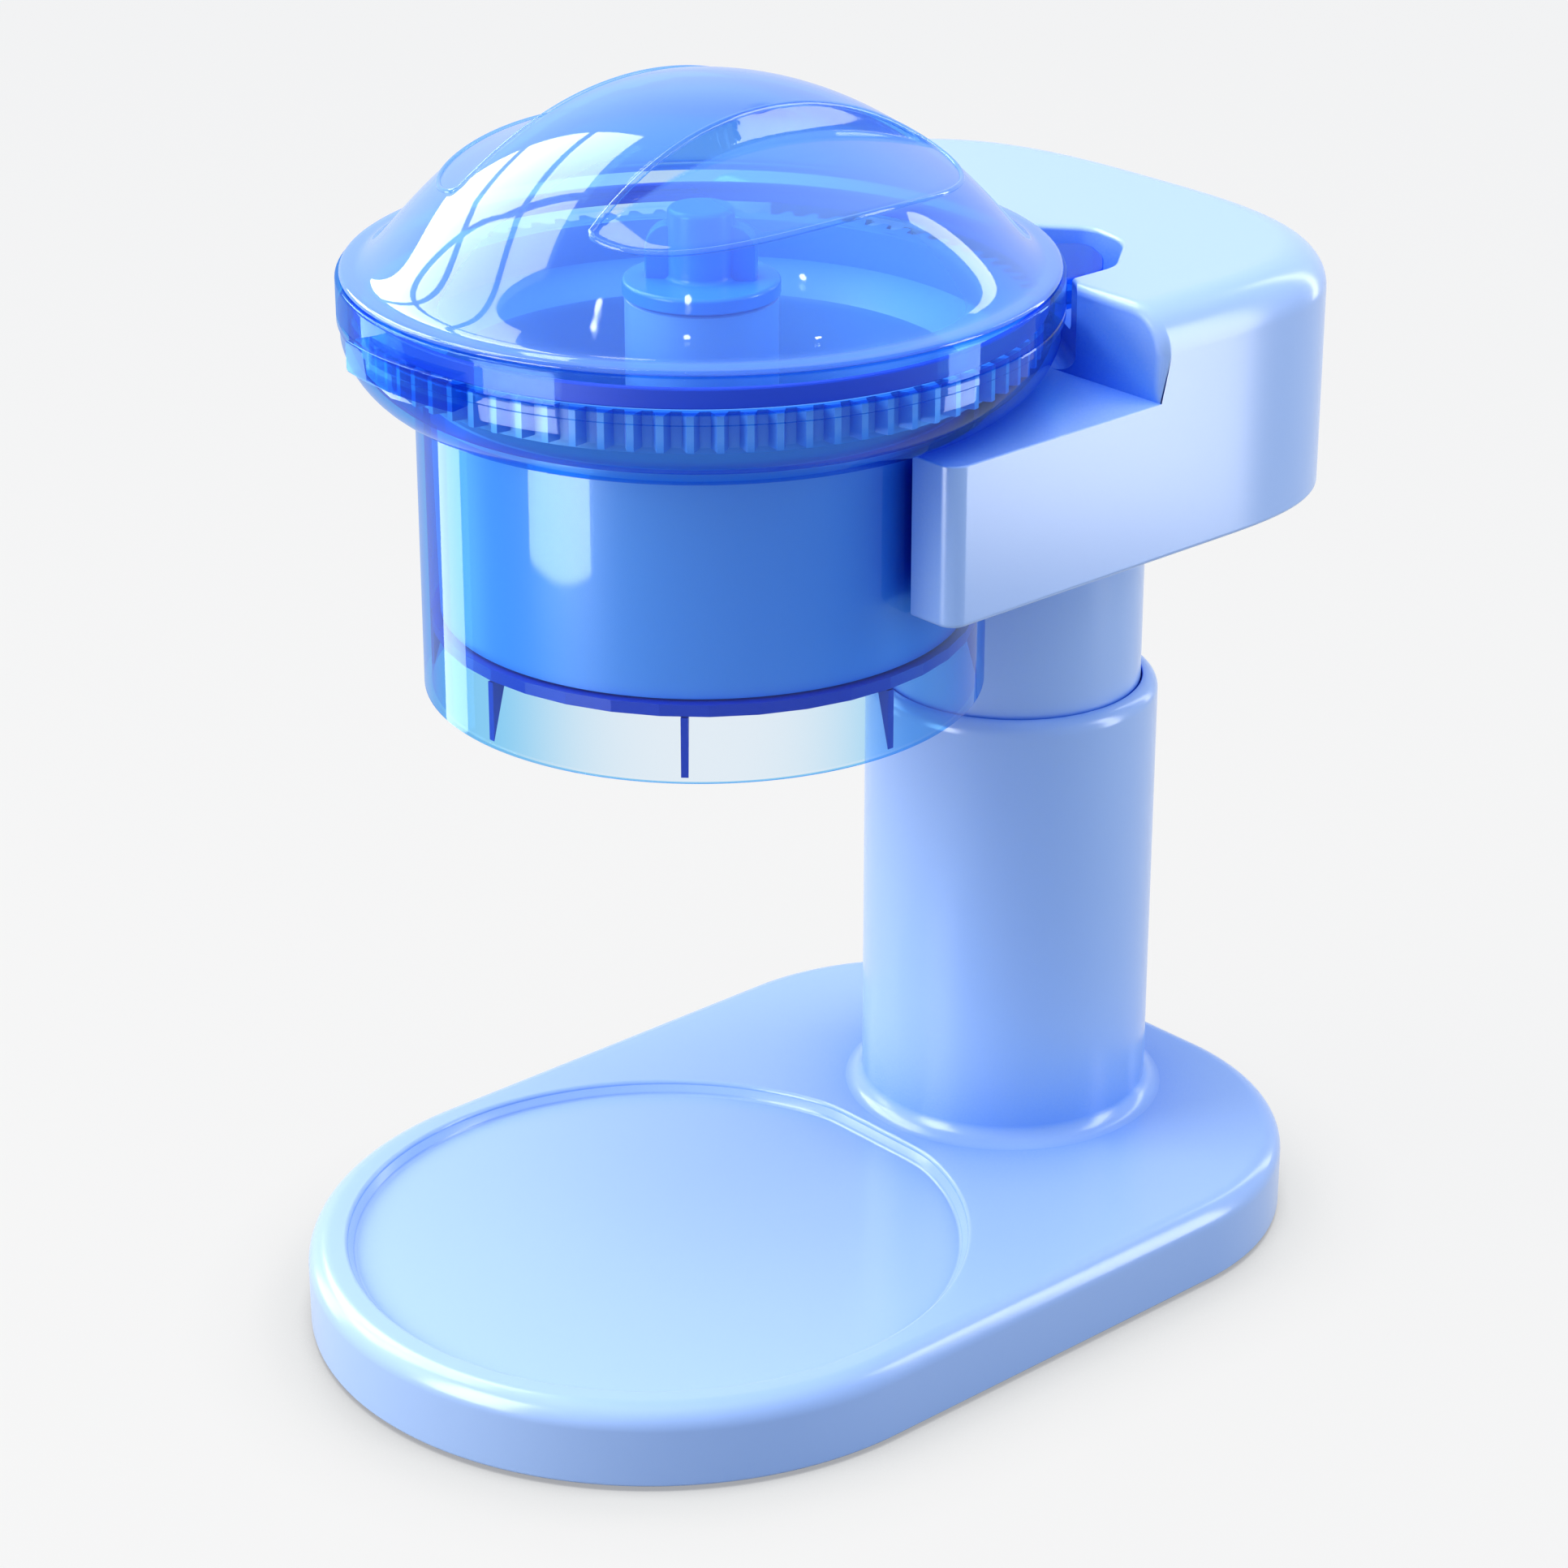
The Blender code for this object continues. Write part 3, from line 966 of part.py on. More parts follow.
def make_lid_band():
    """Clear band with the front finger tab and the interlock key."""
    low = RIM_TOP + SEAT
    inner = RIM_RADIUS - LID_BAND_WALL
    profile = [(RIM_RADIUS - 0.0008, LID_BAND_TOP), (RIM_RADIUS, LID_BAND_TOP - 0.0008),
               (RIM_RADIUS, low), (inner, low), (inner, LID_BAND_TOP)]
    band = turned("lid_band", profile, CLEAR_BLUE, HOPPER_AXIS)
    clear = RIM_RADIUS + PRESS_GAP
    trim = cylinder("rim_trim", clear, HEAD_LEDGE, low + 0.0008, CLEAR_BLUE, HOPPER_AXIS, steps=ROUND)
    as_cutter(trim)
    tab = slab("tab_block", sector_outline(inner + 0.001, RIM_RADIUS + TAB_REACH, -math.pi / 2,
                                           TAB_HALF_ANGLE), TAB_TOP - TAB_HEIGHT, TAB_TOP,
               CLEAR_BLUE, HOPPER_AXIS)
    cut(tab, trim)
    key = slab("key_block", key_outline(), KEY_TOP - KEY_HEIGHT, KEY_TOP, CLEAR_BLUE, HOPPER_AXIS)
    riser = slab("key_riser", sector_outline(inner + 0.001, RIM_RADIUS + 0.0028,
                                             math.pi / 2 - KEY_ANGLE, KEY_RISER_HALF_ANGLE),
                 KEY_TOP - KEY_HEIGHT + 0.0006, TAB_TOP, CLEAR_BLUE, HOPPER_AXIS)
    fuse(key, as_cutter(riser))
    cut(key, trim)
    fuse(band, as_cutter(tab), as_cutter(key))
    tube("lid_seal", inner - PRESS_GAP, inner - 0.0022, low, low + SEAL_HEIGHT, SEAL_RUBBER,
         HOPPER_AXIS, steps=ROUND)


def dome_height(radius, lower=0.0):
    """Height of the dome at a radius: a little fuller than a paraboloid, less a wall."""
    return LID_BAND_TOP + 0.002 + DOME_RISE * (1.0 - (radius / DOME_RADIUS) ** DOME_POWER) - lower


def make_dome():
    """Clear dome with a finger scoop sunk in each side of its grip ridge."""
    base = LID_BAND_TOP + SEAT
    count = 7
    shares = [math.sin(math.pi / 2 * i / count) for i in range(count + 1)]
    outside = [(DOME_RADIUS * share, dome_height(DOME_RADIUS * share)) for share in shares]
    shoulder = outside[-1][1]
    outside += [(DOME_BRIM - 0.0012, shoulder - 0.0002), (DOME_BRIM, shoulder - 0.0014),
                (DOME_BRIM, base), (0.0, base)]
    dome = turned("lid_dome", outside, CLEAR_BLUE, HOPPER_AXIS, closed=False)
    for i in range(2):
        cut(dome, as_cutter(scoop_cutter(f"scoop_{i + 1}", math.pi * i, 0.0)))
    lower = DOME_WALL * 1.15
    drop = (dome_height(0.0, lower) - (base - 0.001)) / DOME_RISE
    inner_radius = DOME_RADIUS * drop ** (1.0 / DOME_POWER)
    inside = [(inner_radius * share, dome_height(inner_radius * share, lower)) for share in shares]
    inside.append((0.0, base - 0.001))
    hollow = turned("dome_hollow", inside, CLEAR_BLUE, HOPPER_AXIS, closed=False)
    for i in range(2):
        cut(hollow, as_cutter(scoop_cutter(f"scoop_wall_{i + 1}", math.pi * i, DOME_WALL)))
    cut(dome, as_cutter(hollow))


def scoop_cutter(name, swing, grow):
    """Block whose crowned, sloping floor and steep inner wall make one finger scoop."""
    inner = SCOOP_INNER - grow
    far = DOME_BRIM + 0.01
    rise = 0.06
    stations = 8
    rows = []
    bm = bmesh.new()
    for i in range(stations + 1):
        y = far * (2 * i / stations - 1)
        floor = LID_BAND_TOP + 0.002 + SCOOP_FLOOR - grow - SCOOP_CROWN * y * y
        section = [(inner, floor), (far, floor - SCOOP_SLOPE * (far - inner)),
                   (far, floor + rise), (inner - rise / SCOOP_WALL_SLOPE, floor + rise)]
        rows.append([bm.verts.new((x, y, z)) for x, z in section])
    bm.faces.new(rows[0])
    bm.faces.new(rows[-1])
    for here, there in zip(rows, rows[1:]):
        for i in range(4):
            j = (i + 1) % 4
            bm.faces.new((here[i], here[j], there[j], there[i]))
    block = add_part(name, mesh_from(bm, name), CLEAR_BLUE, HOPPER_AXIS)
    block.rotation_euler = (0.0, 0.0, swing)
    return block


def carry(name, place, pieces, parent=None):
    """Hang pieces, by name, on an empty that sits on the axis they move along or about."""
    carrier = bpy.data.objects.new(name, None)
    carrier.empty_display_size = 0.02
    PARTS.objects.link(carrier)
    carrier.location = place
    hung = [carrier] if parent else []
    for piece in hung + [bpy.data.objects[each] for each in pieces]:
        owner = parent if piece is carrier else carrier
        offset = parent_place(owner)
        piece.parent = owner
        piece.matrix_parent_inverse = Matrix.Translation(-offset)
    return carrier


def parent_place(owner):
    """World place of an empty that only ever moves along with its own parents."""
    return Vector(owner.location)


def main():
    make_base()
    make_base_cover()
    make_power_socket()
    make_column()
    make_head()
    make_head_cover()
    make_drive()
    make_motor()
    make_interlock()
    make_hopper()
    make_blade_floor()
    make_rotor()
    make_lid_band()
    make_dome()
    head = carry("head_carriage", COLUMN_AXIS,
                 ["column_neck", "neck_glide_ring", "head_shell", "head_cover", "motor",
                  "motor_bracket", "shaft_bush_upper", "shaft_bush_lower", "micro_switch"]
                 + [f"head_screw_{i + 1}" for i in range(len(HEAD_SCREWS))])
    carry("pinion_axle", PINION_AXIS, ["drive_shaft", "drive_pinion", "reduction_wheel"], head)
    carry("motor_axle", MOTOR_AXIS, ["motor_shaft", "motor_pinion"], head)
    carry("plunger_guide", PLUNGER_PLACE, ["interlock_plunger"], head)
    hopper = carry("hopper_carriage", HOPPER_AXIS,
                   ["clear_hopper", "blade_floor", "shaving_blade", "blade_screw_1",
                    "blade_screw_2", "pivot_pin"], head)
    carry("rotor_axle", HOPPER_AXIS,
          ["ice_drum", "ring_gear", "ice_pusher", "pusher_bush", "lift_knob"], hopper)
    carry("lid_carriage", HOPPER_AXIS, ["lid_dome", "lid_band", "lid_seal"], hopper)


main()
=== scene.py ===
"""Snow cone machine, dressed on its CAD frame: finer shells, clear plastic and a studio.

Metres, +Z up, in the frame of the CAD model. The tray is at the front (-Y).
"""
import math

import bmesh
import bpy
from bpy.props import FloatProperty, FloatVectorProperty, IntProperty, PointerProperty
from bpy.types import Operator, Panel, PropertyGroup
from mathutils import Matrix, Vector


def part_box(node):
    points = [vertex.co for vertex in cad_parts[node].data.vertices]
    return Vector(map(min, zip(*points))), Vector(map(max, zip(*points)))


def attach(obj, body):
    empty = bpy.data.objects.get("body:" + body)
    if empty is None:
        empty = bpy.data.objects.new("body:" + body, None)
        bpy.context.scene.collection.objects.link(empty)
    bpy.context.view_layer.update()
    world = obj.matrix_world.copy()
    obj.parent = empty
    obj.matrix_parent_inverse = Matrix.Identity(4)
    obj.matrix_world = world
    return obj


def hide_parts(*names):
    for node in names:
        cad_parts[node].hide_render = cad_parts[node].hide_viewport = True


bl_info = {
    "name": "Snow Cone Machine",
    "version": (1, 0, 0),
    "blender": (4, 5, 0),
    "location": "3D View > Sidebar > Snow Cone",
    "description": "Builds the finished shells, clear plastics and studio of a snow cone machine",
    "category": "Add Mesh",
}

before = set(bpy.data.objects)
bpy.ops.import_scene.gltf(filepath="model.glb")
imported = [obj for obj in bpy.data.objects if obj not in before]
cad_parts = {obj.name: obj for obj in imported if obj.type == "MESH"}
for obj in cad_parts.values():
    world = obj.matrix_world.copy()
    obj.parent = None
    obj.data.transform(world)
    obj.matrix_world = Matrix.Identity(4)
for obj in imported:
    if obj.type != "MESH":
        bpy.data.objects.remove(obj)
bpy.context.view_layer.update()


def middle_of(node):
    """Upright axis through the middle of a node."""
    low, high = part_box(node)
    return Vector(((low[0] + high[0]) / 2, (low[1] + high[1]) / 2, 0.0))


HOPPER_AXIS = middle_of("clear_hopper")
COLUMN_AXIS = middle_of("sleeve_bush")
PINION_AXIS = middle_of("drive_shaft")
PLUNGER_AXIS = middle_of("interlock_plunger")
PINION_LOW, PINION_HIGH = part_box("drive_pinion")
PINION_TIP = (PINION_HIGH[0] - PINION_LOW[0]) / 2
PINION_WINDOW = PINION_TIP + 0.0015
BASE_LOW, BASE_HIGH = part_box("base_shell")
HEAD_LOW, HEAD_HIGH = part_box("head_shell")
HOPPER_Y = HOPPER_AXIS.y

# Base and column
BASE_HALF = BASE_HIGH[0]
TRAY_Y = BASE_LOW[1] + BASE_HALF
BASE_REAR = BASE_HIGH[1]
BASE_BOTTOM = BASE_LOW[2]
BASE_TOP = BASE_BOTTOM + 0.0216
BASE_REAR_RADIUS = 0.070
TRAY_RADIUS = 0.0812
TRAY_FLAT = 0.0791
TRAY_FLOOR = BASE_TOP - 0.0036
SLEEVE_RADIUS = 0.0393
SLEEVE_TOP = BASE_HIGH[2]
NECK_RADIUS = 0.0346
NECK_BORE = 0.0306

# Head
HEAD_BOTTOM = HEAD_LOW[2]
HEAD_TOP = HEAD_HIGH[2]
HEAD_LEDGE = 0.2504
HEAD_HALF = HEAD_HIGH[0]
HEAD_FRONT = HEAD_LOW[1]
HEAD_STEP = HOPPER_Y + 0.0725
HEAD_BEND = HOPPER_Y + 0.095
HEAD_WALL = 0.0026
COVER_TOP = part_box("head_cover")[1][2]
CRADLE_RADIUS = 0.0712
CRADLE_UPPER_RADIUS = 0.0915
NOTCH_FLOOR = 0.2596
HEAD_SCREWS = [middle_of(f"head_screw_{i}") for i in range(1, 5)]

# Hopper, drum and lid
DRUM_RADIUS = 0.0700
HOPPER_WALL = 0.0020
HOPPER_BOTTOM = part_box("clear_hopper")[0][2]
RIM_RADIUS = 0.0880
RIM_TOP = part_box("clear_hopper")[1][2]
FLANGE_SHOULDER = 0.2664
RING_LOW, RING_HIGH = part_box("ring_gear")
POST_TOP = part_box("ice_pusher")[1][2]
LID_BAND_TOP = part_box("lid_band")[1][2]
DOME_RADIUS = 0.0825
DOME_RISE = 0.0431
SHOULDER = LID_BAND_TOP + 0.0020
TAB_TOP = 0.2772
TAB_HEIGHT = 0.0080
KEY_TOP = 0.2712
KEY_HEIGHT = 0.0080
LINER_RADIUS = 0.0664
LINER_TAPER = 0.0010
LINER_WALL = 0.0018
SCOOP_MIDDLE = 0.040
SCOOP_START = 0.024
SCOOP_SLOPE = 0.316
SCOOP_CROWN = 4.04
SCOOP_SIDE_SLOPE = 2.9
SCOOP_BEAD = 0.00075
BEAD_SUNK = 0.0003

# Clearance between fitted pieces, and the break of small edges
GAP = 0.0003
EDGE = 0.0003

# Reach of the tools that cut right through
PAST_HEAD = 0.31
UNDER_HEAD = 0.19

PIECES = bpy.data.collections.new("Snow cone machine")
bpy.context.scene.collection.children.link(PIECES)


class SnowConeSizes(PropertyGroup):
    base_edge: FloatProperty(
        name="Base edge", description="Radius of the base's upper edge", default=0.006,
        min=0.002, max=0.010, unit="LENGTH")
    tray_rim: FloatProperty(
        name="Tray rim", description="Radius of the edge round the tray", default=0.0011,
        min=0.0002, max=0.003, unit="LENGTH")
    sleeve_foot: FloatProperty(
        name="Sleeve foot", description="Fillet where the column meets the base", default=0.0048,
        min=0.001, max=0.008, unit="LENGTH")
    head_edge: FloatProperty(
        name="Head edge", description="Radius of the head's upper edge", default=0.0115,
        min=0.004, max=0.014, unit="LENGTH")
    step_edge: FloatProperty(
        name="Step edge", description="Radius of the edge above the ledge", default=0.0030,
        min=0.0004, max=0.004, unit="LENGTH")
    ledge_edge: FloatProperty(
        name="Ledge edge", description="Radius of the ledge's outer edge", default=0.0016,
        min=0.0004, max=0.004, unit="LENGTH")
    cradle_fillet: FloatProperty(
        name="Cradle fillet", description="Fillet at the foot of the cradle's upper wall",
        default=0.005, min=0.0005, max=0.007, unit="LENGTH")
    lip: FloatProperty(
        name="Lip", description="Radius of the small moulded edges", default=0.0013,
        min=0.0002, max=0.002, unit="LENGTH")
    dome_wall: FloatProperty(
        name="Dome wall", description="Wall thickness of the clear dome", default=0.0022,
        min=0.001, max=0.004, unit="LENGTH")
    scoop_depth: FloatProperty(
        name="Scoop height", description="Height of the scoop's floor over the dome's foot",
        default=0.0338, min=0.028, max=0.038, unit="LENGTH")
    turns: IntProperty(
        name="Turned steps", description="Facets round the large turned pieces", default=168,
        min=48, max=256)


class SnowConeColours(PropertyGroup):
    shell: FloatVectorProperty(
        name="Shell", description="Satin plastic of the base, column and head",
        default=(0.54, 0.72, 0.98), subtype="COLOR", min=0.0, max=1.0)
    # Painted shade: the shell's colour is mixed towards this one in corners and creases, where shade
    # falls.
    shell_shade: FloatVectorProperty(
        name="Shell in corners", description="Colour the shell plastic takes in deep corners",
        default=(0.008, 0.10, 0.82), subtype="COLOR", min=0.0, max=1.0)
    clear_face: FloatVectorProperty(
        name="Clear, seen flat", description="Tint of the clear plastic looked at straight on",
        default=(0.925, 0.965, 0.998), subtype="COLOR", min=0.0, max=1.0)
    dome_face: FloatVectorProperty(
        name="Dome, seen flat", description="Tint of the dome's plastic looked at straight on",
        default=(0.90, 0.955, 0.998), subtype="COLOR", min=0.0, max=1.0)
    clear_edge: FloatVectorProperty(
        name="Clear, seen edge on", description="Tint of the clear plastic looked at edge on",
        default=(0.015, 0.29, 0.90), subtype="COLOR", min=0.0, max=1.0)
    drum: FloatVectorProperty(
        name="Drum", description="Plastic of the ice drum, ring gear and pusher",
        default=(0.20, 0.52, 0.96), subtype="COLOR", min=0.0, max=1.0)
    knob: FloatVectorProperty(
        name="Knob", description="Plastic of the lift knob", default=(0.03, 0.34, 0.98),
        subtype="COLOR", min=0.0, max=1.0)
    blade_floor: FloatVectorProperty(
        name="Blade floor", description="Plastic of the floor that carries the blade",
        default=(0.0, 0.06, 0.56), subtype="COLOR", min=0.0, max=1.0)
    backdrop: FloatVectorProperty(
        name="Backdrop", description="Colour of the floor and backdrop",
        default=(0.896, 0.896, 0.896), subtype="COLOR", min=0.0, max=1.0)


def arc(middle, radius, start, end, count):
    """Points on an arc between two angles in degrees, ends included."""
    points = []
    for i in range(count + 1):
        angle = math.radians(start + (end - start) * i / count)
        points.append((middle[0] + radius * math.cos(angle), middle[1] + radius * math.sin(angle)))
    return points


def about_rim(corners):
    """Corners given as (degrees from +Y, reach beyond the rim, rounding) in plan."""
    points = []
    for degrees, reach, rounding in corners:
        swing = math.radians(degrees)
        radius = RIM_RADIUS + reach
        points.append((radius * math.sin(swing), radius * math.cos(swing), rounding))
    return points


def soften(corners, grow, steps):
    """Round the corners of a clockwise outline after moving its sides outwards by an amount."""
    points = []
    for i, (x, y, rounding) in enumerate(corners):
        here = Vector((x, y))
        before = (Vector(corners[i - 1][:2]) - here).normalized()
        after = (Vector(corners[(i + 1) % len(corners)][:2]) - here).normalized()
        half = before.angle(after) / 2
        bisector = (before + after).normalized()
        outward = 1 if before.cross(after) > 0 else -1
        here -= bisector * grow / math.sin(half) * outward
        if rounding == 0.0:
            points.append((here.x, here.y))
            continue
        radius = rounding + grow
        centre = here + bisector * radius / math.sin(half)
        start = here + before * radius / math.tan(half) - centre
        end = here + after * radius / math.tan(half) - centre
        first = math.atan2(start.y, start.x)
        sweep = (math.atan2(end.y, end.x) - first + math.pi) % (2 * math.pi) - math.pi
        for j in range(steps + 1):
            angle = first + sweep * j / steps
            points.append((centre.x + radius * math.cos(angle), centre.y + radius * math.sin(angle)))
    return points


def mesh_of(bm):
    """Close a bmesh off as a mesh whose faces look outwards."""
    bmesh.ops.recalc_face_normals(bm, faces=bm.faces)
    if bm.calc_volume(signed=True) < 0:
        bmesh.ops.reverse_faces(bm, faces=bm.faces)
    mesh = bpy.data.meshes.new("part")
    bm.to_mesh(mesh)
    bm.free()
    return mesh


def turned(profile, place, steps, closed=True):
    """Turn (radius, height) points about the upright axis at a place."""
    bm = bmesh.new()
    columns = []
    poles = {i: bm.verts.new((place.x, place.y, z)) for i, (r, z) in enumerate(profile) if r < 1e-7}
    for i in range(steps):
        angle = 2 * math.pi * i / steps
        across, along = math.cos(angle), math.sin(angle)
        columns.append([poles[j] if j in poles
                        else bm.verts.new((place.x + r * across, place.y + r * along, z))
                        for j, (r, z) in enumerate(profile)])
    pairs = [(j, j + 1) for j in range(len(profile) - 1)]
    if closed and not poles:
        pairs.append((len(profile) - 1, 0))
    for i in range(steps):
        here, there = columns[i], columns[(i + 1) % steps]
        for a, b in pairs:
            corners = []
            for vert in (here[a], there[a], there[b], here[b]):
                if vert not in corners:
                    corners.append(vert)
            if len(corners) > 2:
                bm.faces.new(corners)
    return mesh_of(bm)


def lofted(rings):
    """Skin equal rings of points one after another and cap both ends."""
    bm = bmesh.new()
    rows = [[bm.verts.new(point) for point in ring] for ring in rings]
    count = len(rows[0])
    for here, there in zip(rows, rows[1:]):
        for i in range(count):
            j = (i + 1) % count
            bm.faces.new((here[i], here[j], there[j], there[i]))
    bm.faces.new(rows[0])
    bm.faces.new(rows[-1])
    return mesh_of(bm)


def compass(swing):
    """Level directions along and across a swing in plan."""
    way = Vector((math.cos(swing), math.sin(swing), 0.0))
    return way, Vector((-way.y, way.x, 0.0))


def standing(points, way, offset):
    """Stand (reach, height) points upright along a direction from the hopper's axis."""
    return [HOPPER_AXIS + way * r + offset + Vector((0.0, 0.0, z)) for r, z in points]


def lifted(outline, height, place=Vector((0.0, 0.0, 0.0))):
    """Put a flat outline at a height."""
    return [(place.x + x, place.y + y, height) for x, y in outline]


def edge_steps(radius, steps, top=True):
    """(inset, height) pairs of a rounded edge, from its side to its flat."""
    pairs = []
    for i in range(steps + 1):
        angle = math.pi / 2 * i / steps
        inset, rise = radius * (1 - math.cos(angle)), radius * math.sin(angle)
        pairs.append((inset, rise - radius if top else radius - rise))
    return pairs


def block(low, high):
    """Plain box between two corners, used for cutting."""
    ring = [(low[0], low[1]), (high[0], low[1]), (high[0], high[1]), (low[0], high[1])]
    return lofted([lifted(ring, low[2]), lifted(ring, high[2])])


def bar(radius, low, high, place, steps=32):
    """Plain round bar between two heights, used for cutting."""
    return turned([(0.0, high), (radius, high), (radius, low), (0.0, low)], place, steps)


def laid_over(mesh):
    """Turn an upright bar down so that it points along +Y."""
    for vert in mesh.vertices:
        vert.co = Vector((vert.co.x, vert.co.z, -vert.co.y))
    return mesh


def shift(mesh, offset):
    """Move a mesh by an offset."""
    for vert in mesh.vertices:
        vert.co += offset
    return mesh


def carve(mesh, tools, operation="DIFFERENCE"):
    """Cut or join a mesh with others, one after another."""
    work = bpy.data.objects.new("work", mesh)
    bpy.context.scene.collection.objects.link(work)
    helpers = []
    for tool in tools:
        helper = bpy.data.objects.new("tool", tool)
        bpy.context.scene.collection.objects.link(helper)
        helpers.append(helper)
        step = work.modifiers.new("Cut", "BOOLEAN")
        step.operation = operation
        step.solver = "EXACT"
        step.object = helper
    graph = bpy.context.evaluated_depsgraph_get()
    result = bpy.data.meshes.new_from_object(work.evaluated_get(graph))
    for item in [work] + helpers:
        bpy.data.objects.remove(item)
    if not result.polygons:
        raise RuntimeError("a cut left nothing")
    return result


def gathered(meshes):
    """Several closed meshes as one."""
    bm = bmesh.new()
    for mesh in meshes:
        bm.from_mesh(mesh)
    mesh = bpy.data.meshes.new("part")
    bm.to_mesh(mesh)
    bm.free()
    return mesh


def rounded_edges(mesh, chosen, width, steps):
    """Bevel the edges that a test picks."""
    bm = bmesh.new()
    bm.from_mesh(mesh)
    edges = [edge for edge in bm.edges
             if chosen(edge.verts[0].co, edge.verts[1].co) and edge.calc_face_angle(0.0) > 0.3]
    if not edges:
        raise RuntimeError("no edge to round")
    bmesh.ops.bevel(bm, geom=edges, offset=width, offset_type="OFFSET", segments=steps,
                    profile=0.5, affect="EDGES", clamp_overlap=True)
    return mesh_of(bm)


def piece(name, mesh, body, surface, slot, nodes=(), sharp=32.0):
    """Finish a mesh as a named piece that rides on a CAD body and stands for CAD nodes.

    Clear plastic lets the light through to what is inside it, so it throws no shadow.
    """
    mesh.name = name
    mesh.materials.clear()
    mesh.materials.append(surface)
    for face in mesh.polygons:
        face.material_index = 0
    mesh.shade_smooth()
    mesh.set_sharp_from_angle(angle=math.radians(sharp))
    item = bpy.data.objects.new(name, mesh)
    PIECES.objects.link(item)
    item.visible_shadow = slot != "clear_plastic"
    even = item.modifiers.new("Even shading", "WEIGHTED_NORMAL")
    even.keep_sharp = True
    even.weight = 100
    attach(item, body)
    if nodes:
        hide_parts(*nodes)


def dress(surface, *nodes):
    """Give CAD nodes that stay a finish of their own."""
    for node in nodes:
        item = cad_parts[node]
        item.data.materials.clear()
        item.data.materials.append(surface)
        for face in item.data.polygons:
            face.material_index = 0


class Nodes:
    """Short hand for building the node tree of a material or a world."""

    def __init__(self, owner, output="OutputMaterial"):
        owner.use_nodes = True
        self.owner = owner
        self.tree = owner.node_tree
        self.tree.nodes.clear()
        self.output = self.add(output)

    def finish(self, shader):
        """Show a shader on the owner and hand the owner back."""
        self.link(shader, self.output.inputs["Surface"])
        return self.owner

    def add(self, kind, **values):
        node = self.tree.nodes.new("ShaderNode" + kind)
        for key, value in values.items():
            setattr(node, key, value)
        return node

    def link(self, start, end):
        self.tree.links.new(start, end)

    def ramp(self, source, stops):
        ramp = self.add("ValToRGB")
        ramp.color_ramp.interpolation = "EASE"
        while len(ramp.color_ramp.elements) < len(stops):
            ramp.color_ramp.elements.new(0.5)
        for element, (position, colour) in zip(ramp.color_ramp.elements, stops):
            element.position = position
            element.color = (*colour, 1.0)
        self.link(source, ramp.inputs["Fac"])
        return ramp.outputs["Color"]

    def spread(self, source, start, end, low, high):
        """A value brought from one range to another and held inside it."""
        node = self.add("MapRange")
        for name, value in (("From Min", start), ("From Max", end), ("To Min", low), ("To Max", high)):
            node.inputs[name].default_value = value
        self.link(source, node.inputs["Value"])
        return node.outputs["Result"]

    def times(self, a, b, operation="MULTIPLY"):
        node = self.add("Math", operation=operation)
        self.link(a, node.inputs[0])
        self.link(b, node.inputs[1])
        return node.outputs["Value"]

    def mixed(self, share, first, second):
        node = self.add("MixShader")
        self.link(share, node.inputs["Fac"])
        self.link(first, node.inputs[1])
        self.link(second, node.inputs[2])
        return node.outputs["Shader"]

    def grain(self, scale, detail, low, high):
        """Noise in object space, brought to a range."""
        place = self.add("TexCoord")
        noise = self.add("TexNoise")
        noise.inputs["Scale"].default_value = scale
        noise.inputs["Detail"].default_value = detail
        self.link(place.outputs["Object"], noise.inputs["Vector"])
        return noise.outputs["Fac"], self.spread(noise.outputs["Fac"], 0.0, 1.0, low, high)

    def bump(self, height, strength, distance):
        node = self.add("Bump")
        node.inputs["Strength"].default_value = strength
        node.inputs["Distance"].default_value = distance
        self.link(height, node.inputs["Height"])
        return node.outputs["Normal"]


def moulded(name, colour, deep, roughness, reach=0.03, grain=0.00001):
    """Opaque moulded plastic: fine grain, uneven gloss, and painted shade that deepens its colour in
    corners and creases.
    """
    nodes = Nodes(bpy.data.materials.new(name))
    shader = nodes.add("BsdfPrincipled")
    shader.inputs["Specular IOR Level"].default_value = 0.36
    # Painted shade: ambient occlusion within the reach finds corners, creases and nearby parts, and the
    # ramp takes the colour there towards the deep shade colour.
    shade = nodes.add("AmbientOcclusion", samples=6)
    shade.inputs["Distance"].default_value = reach
    middle = [a ** 0.35 * b ** 0.65 for a, b in zip(deep, colour)]
    shaded_colour = nodes.ramp(shade.outputs["AO"], [(0.06, deep), (0.40, middle), (0.86, colour)])
    fine, gloss = nodes.grain(300.0, 2.0, roughness - 0.006, roughness + 0.006)
    nodes.link(shaded_colour, shader.inputs["Base Color"])
    nodes.link(gloss, shader.inputs["Roughness"])
    nodes.link(nodes.bump(fine, 0.05, grain), shader.inputs["Normal"])
    return nodes.finish(shader.outputs["BSDF"])


